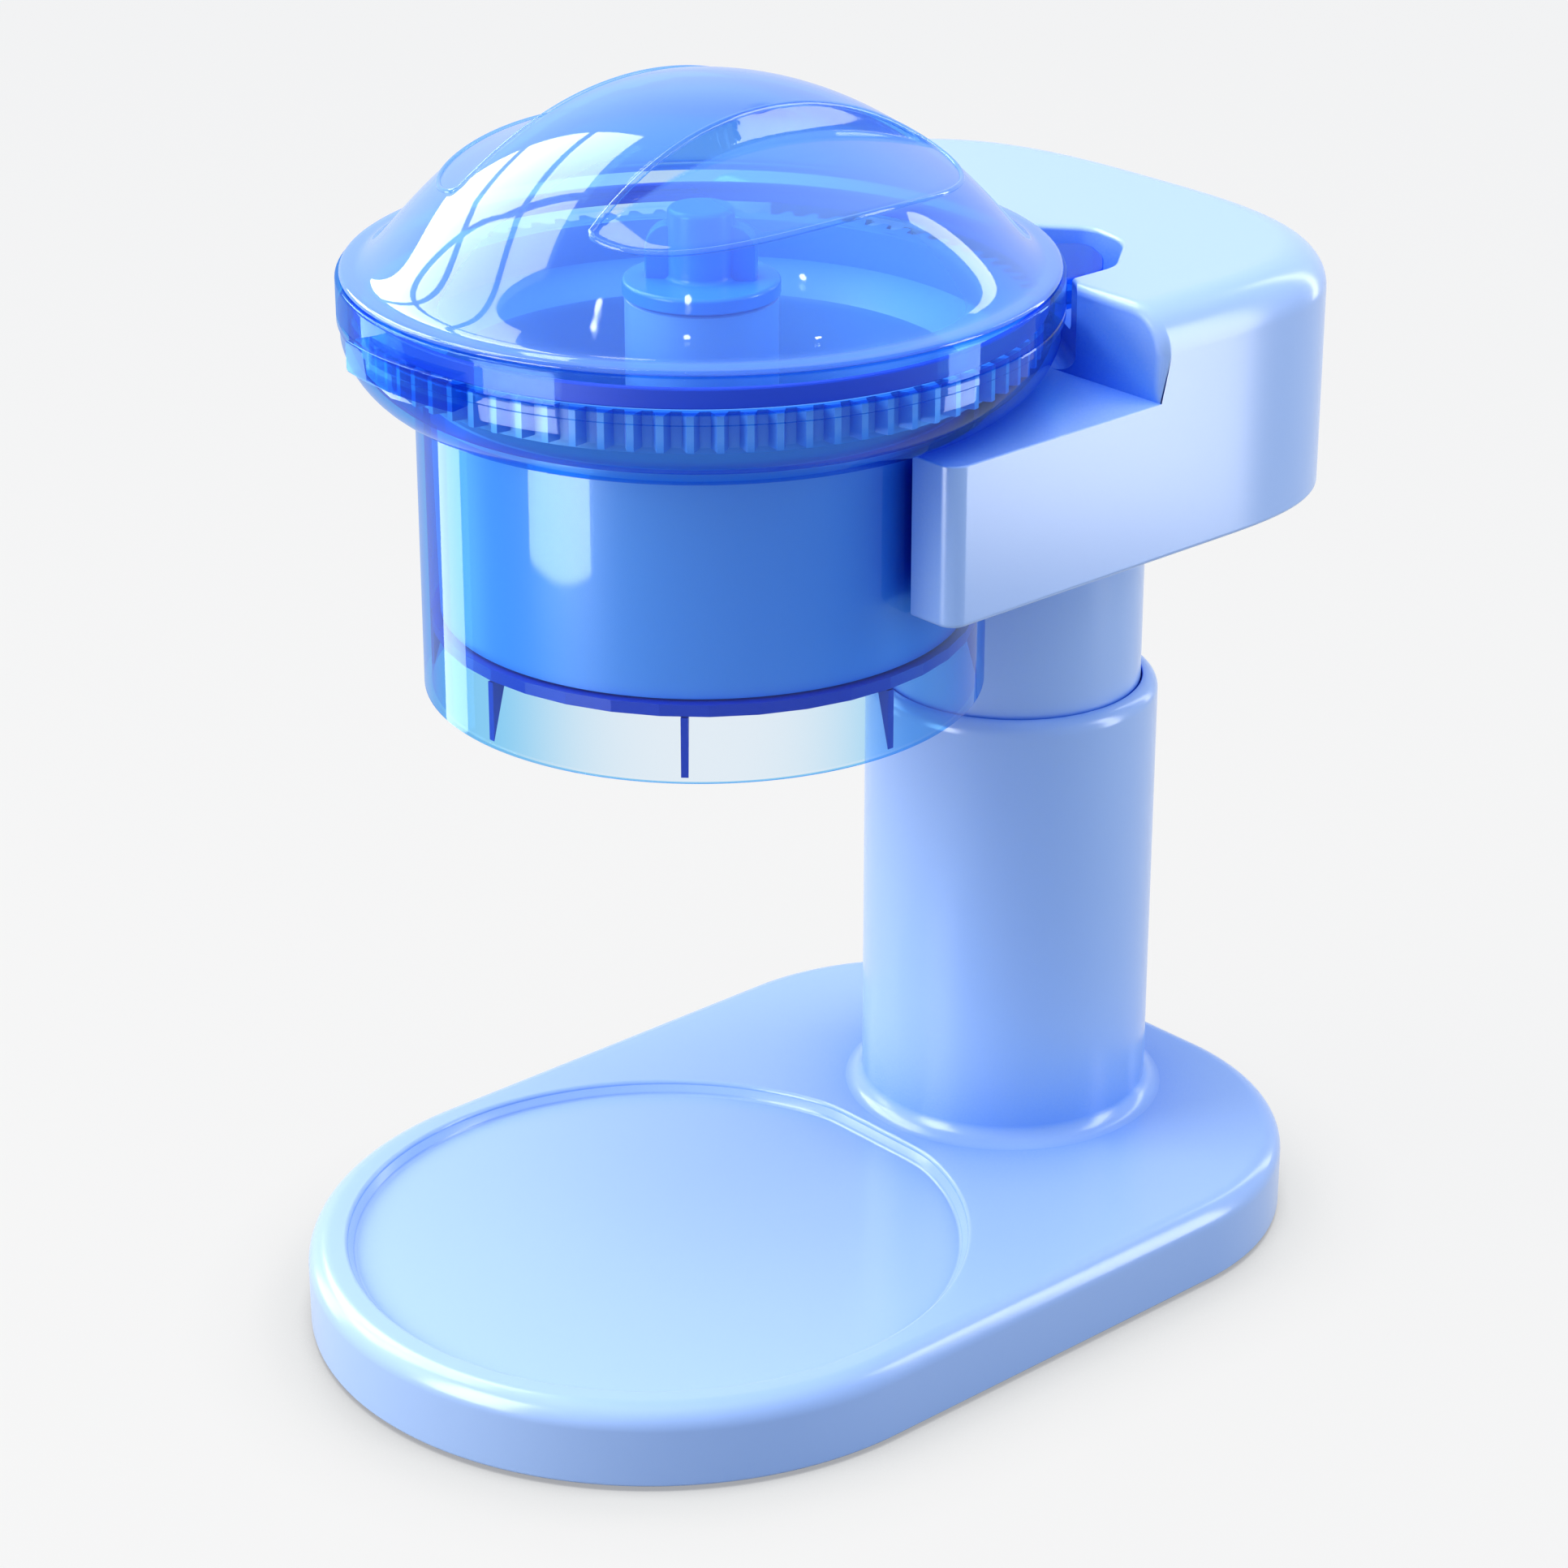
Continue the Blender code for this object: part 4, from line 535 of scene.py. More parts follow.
def clear(name, face, edge, gloss, body, glint, lobes=False):
    """Clear tinted plastic: straight through, deeper and cloudier edge on, with a glossy skin."""
    nodes = Nodes(bpy.data.materials.new(name))
    facing = nodes.add("LayerWeight")
    facing.inputs["Blend"].default_value = 0.5
    turn = facing.outputs["Facing"]
    light = [a ** 0.85 * b ** 0.15 for a, b in zip(face, edge)]
    middle = [a ** 0.5 * b ** 0.5 for a, b in zip(face, edge)]
    tint = nodes.ramp(turn, [(0.05, face), (0.45, light), (0.78, middle), (0.98, edge)])
    if lobes:
        tint = thick_lobes(nodes, tint)
    through = nodes.add("BsdfTransparent")
    nodes.link(tint, through.inputs["Color"])
    outside = nodes.add("NewGeometry")
    front = nodes.spread(outside.outputs["Backfacing"], 0.0, 1.0, 1.0, 0.25)
    haze = nodes.add("BsdfPrincipled")
    haze.inputs["Base Color"].default_value = (0.24, 0.48, 0.94, 1.0)
    haze.inputs["Roughness"].default_value = 0.5
    haze.inputs["Specular IOR Level"].default_value = 0.0
    cloud = nodes.times(nodes.spread(turn, 0.20, 0.68, body[0], body[1]), front)
    shine = nodes.add("BsdfGlossy")
    shine.inputs["Color"].default_value = (*glint, 1.0)
    fine, rough = nodes.grain(90.0, 1.0, 0.015, 0.05)
    nodes.link(rough, shine.inputs["Roughness"])
    nodes.link(nodes.bump(fine, 0.05, 0.00001), shine.inputs["Normal"])
    steep = nodes.add("Math", operation="POWER")
    nodes.link(turn, steep.inputs[0])
    steep.inputs[1].default_value = 4.0
    amount = nodes.times(nodes.spread(steep.outputs["Value"], 0.0, 1.0, gloss, 0.8), front)
    inner = nodes.mixed(cloud, through.outputs["BSDF"], haze.outputs["BSDF"])
    return nodes.finish(nodes.mixed(amount, inner, shine.outputs["BSDF"]))


def thick_lobes(nodes, tint):
    """Deepen a tint outside the rim, where the tab and the key are solid plastic."""
    place = nodes.add("TexCoord")
    centred = nodes.add("VectorMath", operation="SUBTRACT")
    centred.inputs[1].default_value = HOPPER_AXIS
    level = nodes.add("VectorMath", operation="MULTIPLY")
    level.inputs[1].default_value = (1.0, 1.0, 0.0)
    reach = nodes.add("VectorMath", operation="LENGTH")
    nodes.link(place.outputs["Object"], centred.inputs[0])
    nodes.link(centred.outputs["Vector"], level.inputs[0])
    nodes.link(level.outputs["Vector"], reach.inputs[0])
    share = nodes.spread(reach.outputs["Value"], RIM_RADIUS + GAP, RIM_RADIUS + 0.0020, 0.0, 1.0)
    deeper = nodes.add("Mix", data_type="RGBA", blend_type="MULTIPLY")
    nodes.link(share, deeper.inputs["Factor"])
    nodes.link(tint, deeper.inputs[6])
    deeper.inputs[7].default_value = (0.50, 0.74, 0.98, 1.0)
    return deeper.outputs[2]


def metal(name, colour, roughness, scratch=500.0):
    """Machined metal with fine turning marks."""
    nodes = Nodes(bpy.data.materials.new(name))
    shader = nodes.add("BsdfPrincipled")
    shader.inputs["Base Color"].default_value = (*colour, 1.0)
    shader.inputs["Metallic"].default_value = 1.0
    fine, rough = nodes.grain(scratch, 3.0, roughness * 0.7, roughness * 1.3)
    nodes.link(rough, shader.inputs["Roughness"])
    nodes.link(nodes.bump(fine, 0.2, 0.00002), shader.inputs["Normal"])
    return nodes.finish(shader.outputs["BSDF"])


SURFACES = {}


def surface(name):
    """The finish of a material slot, made when it is first asked for."""
    if name in SURFACES:
        return SURFACES[name]
    colours = bpy.context.scene.snow_cone_colours
    face, edge = colours.clear_face, colours.clear_edge
    # In the moulded recipes the second colour is painted shade, which the plastic takes on in corners and
    # creases.
    recipes = {
        "shell": (moulded, "shell_plastic", colours.shell, colours.shell_shade, 0.21, 0.05),
        "drum_plastic": (moulded, "drum_plastic", colours.drum, (0.0, 0.05, 0.60), 0.30, 0.05),
        "knob_plastic": (moulded, "knob_plastic", colours.knob, (0.0, 0.10, 0.75), 0.22, 0.01),
        "floor_plastic": (moulded, "floor_plastic", colours.blade_floor, (0.0, 0.01, 0.30), 0.30),
        "seal_rubber": (moulded, "seal_rubber", (0.0, 0.07, 0.66), (0.0, 0.03, 0.45), 0.55, 0.01),
        "foot_rubber": (moulded, "foot_rubber", (0.16, 0.18, 0.22), (0.05, 0.06, 0.08), 0.80,
                        0.03, 0.0001),
        "underside": (moulded, "underside_plastic", (0.04, 0.045, 0.06), (0.01, 0.01, 0.02), 0.5),
        "nylon": (moulded, "nylon", (0.70, 0.78, 0.90), (0.20, 0.32, 0.62), 0.48, 0.008),
        "clear_plastic": (clear, "clear_plastic", face, edge, 0.022, (0.004, 0.035), (0.66, 0.84, 1.0)),
        "band_plastic": (clear, "band_plastic", face, edge, 0.024, (0.004, 0.03),
                         (0.34, 0.62, 1.0), True),
        "dome_plastic": (clear, "dome_plastic", colours.dome_face, edge, 0.028, (0.14, 0.62),
                         (0.92, 0.97, 1.0)),
        "steel": (metal, "steel", (0.62, 0.63, 0.65), 0.26),
        "motor_steel": (metal, "motor_steel", (0.45, 0.46, 0.48), 0.40, 160.0),
        "brass": (metal, "brass", (0.72, 0.56, 0.28), 0.34)}
    make, *values = recipes[name]
    SURFACES[name] = make(*values)
    return SURFACES[name]


def base_outline(inset):
    """Half-round front about the tray, straight sides and large rounded rear corners."""
    half = BASE_HALF - inset
    rear = BASE_REAR - inset
    corner = BASE_REAR_RADIUS - inset
    corner_x = BASE_HALF - BASE_REAR_RADIUS
    corner_y = BASE_REAR - BASE_REAR_RADIUS
    rise = corner_y - TRAY_Y
    side = [(half, TRAY_Y + rise * i / 32) for i in range(1, 32)]
    points = arc((0.0, TRAY_Y), half, -180, 0, 96) + side
    points += arc((corner_x, corner_y), corner, 0, 90, 48)
    points += [(corner_x * (1 - i / 8), rear) for i in range(1, 16)]
    points += arc((-corner_x, corner_y), corner, 90, 180, 48)
    return points + [(-x, y) for x, y in reversed(side)]


def head_outline(inset):
    """Straight cheeks with rounded front corners, then a soft curve round the back."""
    half = HEAD_HALF - inset
    length = HEAD_HIGH[1] - HEAD_BEND - inset
    corner = max(0.0045 - inset * 0.6, 0.0002)
    front = HEAD_FRONT + inset
    points = arc((-half + corner, front + corner), corner, 180, 270, 8)
    points += arc((half - corner, front + corner), corner, 270, 360, 8)
    for i in range(97):
        swing = math.pi * i / 96
        across, back = math.cos(swing), math.sin(swing)
        points.append((half * math.copysign(abs(across) ** (2 / 3), across),
                       HEAD_BEND + length * back ** (2 / 3)))
    return points


def notch_outline(grow=0.0):
    """Plan of the notch in the head that takes the key; grow widens it."""
    return soften(about_rim([(-2.9, -0.0079, 0.0), (-2.6, 0.0006, 0.0), (12.0, 0.0255, 0.009),
                             (18.8, 0.0266, 0.014), (28.7, 0.0163, 0.012), (35.5, -0.002, 0.0),
                             (36.9, -0.008, 0.0), (15.9, -0.0152, 0.0)]), grow, 8)


def key_outline(grow=0.0):
    """Plan of the lid's key, wider on the side away from the pinion."""
    return soften(about_rim([(8.5, -0.0071, 0.0), (9.1, 0.0037, 0.0), (14.4, 0.0216, 0.0045),
                             (20.2, 0.0196, 0.009), (26.8, 0.0145, 0.009), (30.3, 0.0023, 0.0),
                             (32.0, -0.0049, 0.0)]), grow, 6)


def dome_height(radius):
    """Outer height of the dome over its foot, less full towards the foot."""
    share = min(radius / DOME_RADIUS, 1.0)
    outer = max((radius - 0.060) / (DOME_RADIUS - 0.060), 0.0)
    return DOME_RISE * (1.0 - share ** 2.17) - 0.0030 * outer ** 1.6 * max(1.0 - outer ** 6, 0.0)


def softer_low(a, b, reach):
    """The lower of two heights, blended where they cross."""
    near = max(reach - abs(a - b), 0.0) / reach
    return min(a, b) - near * near * reach / 4


def scoop_height(x, y, wall, depth):
    """Height of a finger scoop's surface: a sloping floor and a steep side along the grip."""
    side = abs(x)
    floor = depth - wall - SCOOP_SLOPE * (side - SCOOP_START) - SCOOP_CROWN * y * y
    steep = floor + SCOOP_SIDE_SLOPE * (SCOOP_START - wall * 0.9 - side)
    return -softer_low(-floor, -steep, 0.0012)


def scooped(x, y, radius, wall, depth):
    """Height of the dome's skin with both finger scoops, at a depth of wall inside it."""
    height = dome_height(radius) - wall * 1.12
    return softer_low(height, scoop_height(x, y, wall, depth), 0.0008)


def scoop_rim(depth, count):
    """Points round the leaf-shaped edge at which a scoop leaves the dome."""
    points = []
    for i in range(count):
        swing = math.tau * i / count
        near, far = 0.0, 0.075
        for _ in range(28):
            reach = (near + far) / 2
            x, y = SCOOP_MIDDLE + reach * math.cos(swing), reach * math.sin(swing)
            if dome_height(math.hypot(x, y)) > scoop_height(x, y, 0.0, depth):
                near = reach
            else:
                far = reach
        points.append(Vector((x, y, dome_height(math.hypot(x, y)))))
    return points


class SnowConeMaker:
    """What every operator here shares."""
    bl_options = {"REGISTER"}

    def sizes(self, context):
        return context.scene.snow_cone_sizes


class SNOWCONE_OT_base(SnowConeMaker, Operator):
    """Build the base with its tray and the column's sleeve"""
    bl_idname = "snow_cone.base"
    bl_label = "Base and sleeve"

    def execute(self, context):
        size = self.sizes(context)
        wall = 0.0030
        shell = lofted(self.shell_rings(size, wall))
        hole = laid_over(bar(0.0045, -0.012, 0.012, Vector((0.0, 0.0, 0.0))))
        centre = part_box("power_socket")
        height = (centre[0][2] + centre[1][2]) / 2
        shell = carve(shell, [shift(hole, Vector((0.0, BASE_REAR, height)))])
        sleeve = turned(self.sleeve_profile(size), COLUMN_AXIS, size.turns)
        piece("base_and_sleeve", gathered([shell, sleeve]), "base", surface("shell"), "shell",
              ["base_shell"])
        return {"FINISHED"}

    def shell_rings(self, size, wall):
        """Outlines of the base from its open underside over the edge to the tray."""
        edge, rim = size.base_edge, size.tray_rim
        rings = [lifted(base_outline(wall), BASE_BOTTOM + 0.0034),
                 lifted(base_outline(wall), BASE_BOTTOM)]
        rings += [lifted(base_outline(inset), BASE_BOTTOM + rise)
                  for inset, rise in reversed(edge_steps(0.0008, 3, top=False))]
        rings += [lifted(base_outline(inset), BASE_TOP + rise) for inset, rise in edge_steps(edge, 12)]
        middle = Vector((0.0, TRAY_Y))
        outer = base_outline(edge)
        around = [self.tray_point(Vector(point) - middle, 0.0) for point in outer]
        for i in range(7):
            angle = math.pi / 2 * i / 6
            inset, drop = rim * (math.sin(angle) - 1), rim * (1 - math.cos(angle))
            rings.append([(*(middle + way * (reach - inset)), BASE_TOP - drop)
                          for way, reach in around])
        foot = 0.0010
        for i in range(5):
            angle = math.pi / 2 * i / 4
            inset = 0.0014 + foot * (1 - math.cos(angle))
            height = TRAY_FLOOR + foot * (1 - math.sin(angle))
            rings.append([(*(middle + way * (reach - inset)), height) for way, reach in around])
        rings.append([(*(middle + way * reach * 0.5), TRAY_FLOOR) for way, reach in around])
        return rings

    def tray_point(self, offset, inset):
        """Direction and distance of the tray's rim from its middle."""
        way = offset.normalized()
        reach = TRAY_RADIUS - inset
        if way.y > 0.5:
            reach = softer_low(reach, (TRAY_FLAT - inset) / way.y, 0.0012)
        return way, reach

    def sleeve_profile(self, size):
        """Section of the sleeve with its filleted foot and rounded lip."""
        foot, lip = size.sleeve_foot, 0.0040
        outside = arc((SLEEVE_RADIUS - lip, SLEEVE_TOP - lip), lip, 90, 0, 12)
        outside += arc((SLEEVE_RADIUS + foot, BASE_TOP + foot), foot, 180, 268, 10)
        bore = NECK_RADIUS + 0.0022
        mouth = NECK_RADIUS + 0.0004
        inside = [(SLEEVE_RADIUS + foot, BASE_TOP - 0.0006), (bore, BASE_TOP - 0.0006),
                  (bore, SLEEVE_TOP - 0.0040), (mouth, SLEEVE_TOP - 0.0040)]
        inside += arc((mouth + 0.0004, SLEEVE_TOP - 0.0004), 0.0004, 180, 90, 3)
        return outside + inside


class SNOWCONE_OT_underside(SnowConeMaker, Operator):
    """Dress the cover, feet, screws and the power inlet under and behind the base"""
    bl_idname = "snow_cone.underside"
    bl_label = "Underside"

    def execute(self, context):
        dress(surface("underside"), "base_cover", "power_socket")
        dress(surface("steel"), *[f"base_screw_{i}" for i in range(1, 5)])
        for i in range(1, 5):
            low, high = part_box(f"foot_{i}")
            radius = (high[0] - low[0]) / 2
            profile = [(0.0, high[2]), (radius, high[2])]
            profile += arc((radius - 0.0006, low[2] + 0.0006), 0.0006, 0, -90, 4)
            profile += [(radius * 0.62, low[2]), (radius * 0.55, low[2] + 0.0004), (0.0, low[2] + 0.0004)]
            piece(f"rubber_foot_{i}", turned(profile, middle_of(f"foot_{i}"), 40), "base",
                  surface("foot_rubber"), "foot_rubber", [f"foot_{i}"])
        return {"FINISHED"}


class SNOWCONE_OT_column(SnowConeMaker, Operator):
    """Build the sliding neck and dress the rings that guide it"""
    bl_idname = "snow_cone.column"
    bl_label = "Sliding neck"

    def execute(self, context):
        low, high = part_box("column_neck")
        waist = NECK_RADIUS - 0.0014
        groove = low[2] + 0.014
        flange = high[2] - 0.0026
        reach = high[0]
        profile = [(reach, high[2]), (reach, flange), (NECK_RADIUS, flange), (NECK_RADIUS, groove),
                   (waist, groove), (waist, low[2]), (NECK_BORE, low[2]), (NECK_BORE, high[2])]
        trim = bar(CRADLE_RADIUS + HEAD_WALL + GAP, flange - 0.001, high[2] + 0.001,
                   HOPPER_AXIS, 160)
        neck = carve(turned(profile, COLUMN_AXIS, self.sizes(context).turns), [trim])
        piece("sliding_neck", neck, "head", surface("shell"), "shell", ["column_neck"])
        dress(surface("nylon"), "sleeve_bush", "neck_glide_ring")
        return {"FINISHED"}


class SNOWCONE_OT_head(SnowConeMaker, Operator):
    """Build the motor head with its cheeks, ledge, cradle and key notch, and its cover"""
    bl_idname = "snow_cone.head"
    bl_label = "Motor head"

    def execute(self, context):
        size = self.sizes(context)
        shell = lofted(self.skin(size))
        shell = carve(shell, [block((-0.1, -0.1, HEAD_LEDGE), (0.1, HEAD_STEP, HEAD_TOP + 0.02))])
        shell = rounded_edges(shell, self.on_step, size.step_edge, 6)
        shell = rounded_edges(shell, self.on_ledge, size.ledge_edge, 5)
        shell = carve(shell, [self.cradle(size), self.notch(size), self.hollow()])
        shell = carve(shell, self.holes())
        piece("motor_head", shell, "head", surface("shell"), "shell", ["head_shell"])
        piece("head_underside", self.cover(), "head", surface("shell"), "shell", ["head_cover"])
        dress(surface("steel"), *[f"head_screw_{i}" for i in range(1, 5)])
        return {"FINISHED"}

    def skin(self, size):
        rings = [lifted(head_outline(HEAD_WALL), COVER_TOP + 0.0002),
                 lifted(head_outline(HEAD_WALL), HEAD_BOTTOM)]
        rings += [lifted(head_outline(inset), HEAD_BOTTOM + rise)
                  for inset, rise in reversed(edge_steps(0.0012, 4, top=False))]
        rings += [lifted(head_outline(inset), HEAD_TOP + rise)
                  for inset, rise in edge_steps(size.head_edge, 16)]
        return rings

    def on_step(self, a, b):
        """The outer edge of the wall that rises from the ledge."""
        inner = HEAD_LEDGE + 0.0001
        return (abs(a.y - HEAD_STEP) < 1e-6 and abs(b.y - HEAD_STEP) < 1e-6
                and max(a.z, b.z) > inner)

    def on_ledge(self, a, b):
        """The outer edge of the ledge."""
        return (abs(a.z - HEAD_LEDGE) < 1e-6 and abs(b.z - HEAD_LEDGE) < 1e-6
                and min(a.y, b.y) < HEAD_STEP - 0.0005)

    def cradle(self, size):
        """Tool for the round seat of the hopper, with its rounded edges."""
        lip, fillet, upper = size.lip, size.cradle_fillet, CRADLE_UPPER_RADIUS
        profile = [(0.0, HEAD_TOP + 0.03), (upper + lip, HEAD_TOP + 0.03)]
        profile += arc((upper + lip, HEAD_TOP - lip), lip, 90, 180, 5)
        profile += arc((upper - fillet, HEAD_LEDGE + fillet), fillet, 0, -90, 10)
        profile += arc((CRADLE_RADIUS + lip, HEAD_LEDGE - lip), lip, 90, 180, 5)
        profile += [(CRADLE_RADIUS, HEAD_BOTTOM - 0.02), (0.0, HEAD_BOTTOM - 0.02)]
        return turned(profile, HOPPER_AXIS, 192)

    def notch(self, size):
        """Tool for the notch that takes the key of the lid."""
        lip = size.lip
        rings = [lifted(notch_outline(-0.0015), NOTCH_FLOOR, HOPPER_AXIS),
                 lifted(notch_outline(-0.0005), NOTCH_FLOOR + 0.0004, HOPPER_AXIS),
                 lifted(notch_outline(0.0), NOTCH_FLOOR + 0.0015, HOPPER_AXIS)]
        for i in range(5):
            angle = math.pi / 2 * i / 4
            rings.append(lifted(notch_outline(lip * (1 - math.cos(angle))),
                                HEAD_TOP - lip + lip * math.sin(angle), HOPPER_AXIS))
        rings.append(lifted(notch_outline(lip), HEAD_TOP + 0.02, HOPPER_AXIS))
        return lofted(rings)

    def hollow(self):
        """The head's inside, less the walls round cradle, ledge, notch and bosses."""
        wall, under = HEAD_WALL, HEAD_LEDGE - HEAD_WALL
        rings = [lifted(head_outline(wall), HEAD_BOTTOM - 0.005)]
        rings += [lifted(head_outline(wall + inset), HEAD_TOP - wall + rise)
                  for inset, rise in edge_steps(0.0085, 4)]
        upper = CRADLE_UPPER_RADIUS + wall
        lower = CRADLE_RADIUS + wall
        cradle = [(0.0, PAST_HEAD), (upper, PAST_HEAD), (upper, under), (lower, under),
                  (lower, UNDER_HEAD), (0.0, UNDER_HEAD)]
        keep = [turned(cradle, HOPPER_AXIS, 96),
                block((-0.11, -0.08, under), (0.11, HEAD_STEP + wall, PAST_HEAD)),
                lofted([lifted(notch_outline(wall), NOTCH_FLOOR - wall, HOPPER_AXIS),
                        lifted(notch_outline(wall), PAST_HEAD, HOPPER_AXIS)]),
                bar(0.0083, HEAD_LEDGE - 0.008, 0.2522, PINION_AXIS),
                bar(PINION_WINDOW + wall, under + 0.0004, PAST_HEAD, PINION_AXIS, 64)]
        keep += [bar(0.0042, COVER_TOP + GAP, 0.28, place, 24) for place in HEAD_SCREWS]
        return carve(lofted(rings), keep)

    def holes(self):
        """Window for the pinion and holes for the plunger, shaft and screws."""
        holes = [bar(PINION_WINDOW, HEAD_LEDGE + 0.0010, HEAD_TOP - 0.0022, PINION_AXIS, 64),
                 bar(0.0034, NOTCH_FLOOR - 0.005, 0.27, PLUNGER_AXIS, 24),
                 bar(0.0061, HEAD_LEDGE - 0.012, HEAD_LEDGE + 0.004, PINION_AXIS, 36)]
        holes += [bar(0.0017, COVER_TOP - 0.001, COVER_TOP + 0.013, place, 16) for place in HEAD_SCREWS]
        return holes

    def cover(self):
        """Flat cover in the head's underside, with sunk screw holes."""
        low, high = HEAD_BOTTOM + 0.0002, COVER_TOP
        inset = HEAD_WALL + GAP
        plate = lofted([lifted(head_outline(inset + EDGE), low),
                        lifted(head_outline(inset), low + EDGE), lifted(head_outline(inset), high)])
        cuts = [bar(CRADLE_RADIUS + HEAD_WALL + GAP, low - 0.01, high + 0.01, HOPPER_AXIS, 160),
                bar(NECK_RADIUS + GAP, low - 0.01, high + 0.01, COLUMN_AXIS, 120)]
        for place in HEAD_SCREWS:
            sink = [(0.0, high + 0.01), (0.0017, high + 0.01), (0.0017, low + 0.0018),
                    (0.0033, low + 0.0002), (0.0033, low - 0.002), (0.0, low - 0.002)]
            cuts.append(turned(sink, place, 24))
        return carve(plate, cuts)


class SNOWCONE_OT_drive(SnowConeMaker, Operator):
    """Dress the motor, gears, shafts, bearings and the interlock inside the head"""
    bl_idname = "snow_cone.drive"
    bl_label = "Drive"

    def execute(self, context):
        dress(surface("nylon"), "drive_pinion", "reduction_wheel", "interlock_plunger")
        dress(surface("steel"), "drive_shaft", "motor_shaft", "motor_bracket")
        dress(surface("motor_steel"), "motor")
        dress(surface("brass"), "motor_pinion", "shaft_bush_upper", "shaft_bush_lower")
        dress(surface("underside"), "micro_switch")
        return {"FINISHED"}


class SNOWCONE_OT_hopper(SnowConeMaker, Operator):
    """Build the clear hopper with its flange, rim, skirt and gussets"""
    bl_idname = "snow_cone.hopper"
    bl_label = "Hopper"

    def execute(self, context):
        size = self.sizes(context)
        wall = HOPPER_WALL
        hopper = turned(self.profile(wall), HOPPER_AXIS, size.turns)
        floor_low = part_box("blade_floor")[0][2]
        gussets = [self.gusset(math.pi / 4 * i, DRUM_RADIUS - wall, floor_low) for i in range(8)]
        piece("gussets", gathered(gussets), "hopper", surface("floor_plastic"), "floor_plastic")
        window = bar(PINION_TIP + 0.0012, HEAD_LEDGE - 0.004, PINION_HIGH[2] + 0.0008, PINION_AXIS, 64)
        piece("hopper", carve(hopper, [window]), "hopper", surface("clear_plastic"), "clear_plastic",
              ["clear_hopper"])
        return {"FINISHED"}

    def bowl(self, inset, count):
        """The flange's bowl, from the drum wall out to its shoulder."""
        rise = FLANGE_SHOULDER - HEAD_LEDGE - GAP - inset
        flange = RIM_RADIUS - 0.0008
        points = []
        for i in range(count + 1):
            swing = math.pi / 2 * i / count
            radius = DRUM_RADIUS - inset + (flange - DRUM_RADIUS) * math.sin(swing)
            points.append((radius, FLANGE_SHOULDER - rise * math.cos(swing) ** 1.3))
        return points

    def profile(self, wall):
        """Closed section of the hopper from rim to skirt."""
        rim_low = RIM_TOP - 0.0023
        outside = [(RIM_RADIUS - EDGE, RIM_TOP), (RIM_RADIUS, RIM_TOP - EDGE),
                   (RIM_RADIUS, rim_low + EDGE), (RIM_RADIUS - EDGE, rim_low),
                   (RIM_RADIUS - 0.0008, rim_low - EDGE)]
        outside += list(reversed(self.bowl(0.0, 16)))
        low = HOPPER_BOTTOM
        outside += [(DRUM_RADIUS, low + 0.0004), (DRUM_RADIUS - 0.0004, low)]
        inner = DRUM_RADIUS - wall
        inside = [(inner + 0.0004, low), (inner, low + 0.0004)] + self.bowl(wall, 16)
        inside += [(RIM_RADIUS - 0.0008 - wall, RIM_TOP)]
        return outside + inside

    def gusset(self, swing, inner, floor_low):
        """Small rib between the skirt and the blade floor."""
        low, high = HOPPER_BOTTOM + 0.0008, floor_low - GAP
        half, depth = 0.0009, 0.0040
        way, side = compass(swing)
        corners = [(inner - 0.0001, low), (inner - 0.0001, high), (inner - depth, high)]
        return lofted([standing(corners, way, side * half * edge) for edge in (-1, 1)])


class SNOWCONE_OT_blade_floor(SnowConeMaker, Operator):
    """Dress the blade floor, the blade, its screws and the pivot pin"""
    bl_idname = "snow_cone.blade_floor"
    bl_label = "Blade floor"

    def execute(self, context):
        dress(surface("floor_plastic"), "blade_floor")
        dress(surface("steel"), "shaving_blade", "blade_screw_1", "blade_screw_2", "pivot_pin")
        return {"FINISHED"}


class SNOWCONE_OT_drum(SnowConeMaker, Operator):
    """Build the turning ice drum and dress its ring gear"""
    bl_idname = "snow_cone.drum"
    bl_label = "Ice drum"

    def execute(self, context):
        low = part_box("ice_drum")[0][2]
        liner, taper, wall = LINER_RADIUS, LINER_TAPER, LINER_WALL
        shoulder = RING_LOW[2] - GAP
        root = 0.0759
        top = RING_HIGH[2]
        profile = [(root, top), (root, shoulder), (root + 0.0021, shoulder),
                   (root + 0.0021, shoulder - 0.0016)]
        profile += [(liner + 0.0018, shoulder - 0.0078), (liner + 0.0004, shoulder - 0.0092),
                    (liner, shoulder - 0.0112), (liner - taper, low), (liner - taper - wall, low),
                    (liner - wall, shoulder - 0.0098), (liner - wall + 0.0004, shoulder - 0.0080),
                    (liner - wall + 0.0016, shoulder - 0.0068), (root - wall, shoulder - 0.0010),
                    (root - wall, top)]
        piece("drum_liner", turned(profile, HOPPER_AXIS, self.sizes(context).turns), "rotor",
              surface("drum_plastic"), "drum_plastic", ["ice_drum"])
        dress(surface("drum_plastic"), "ring_gear")
        return {"FINISHED"}


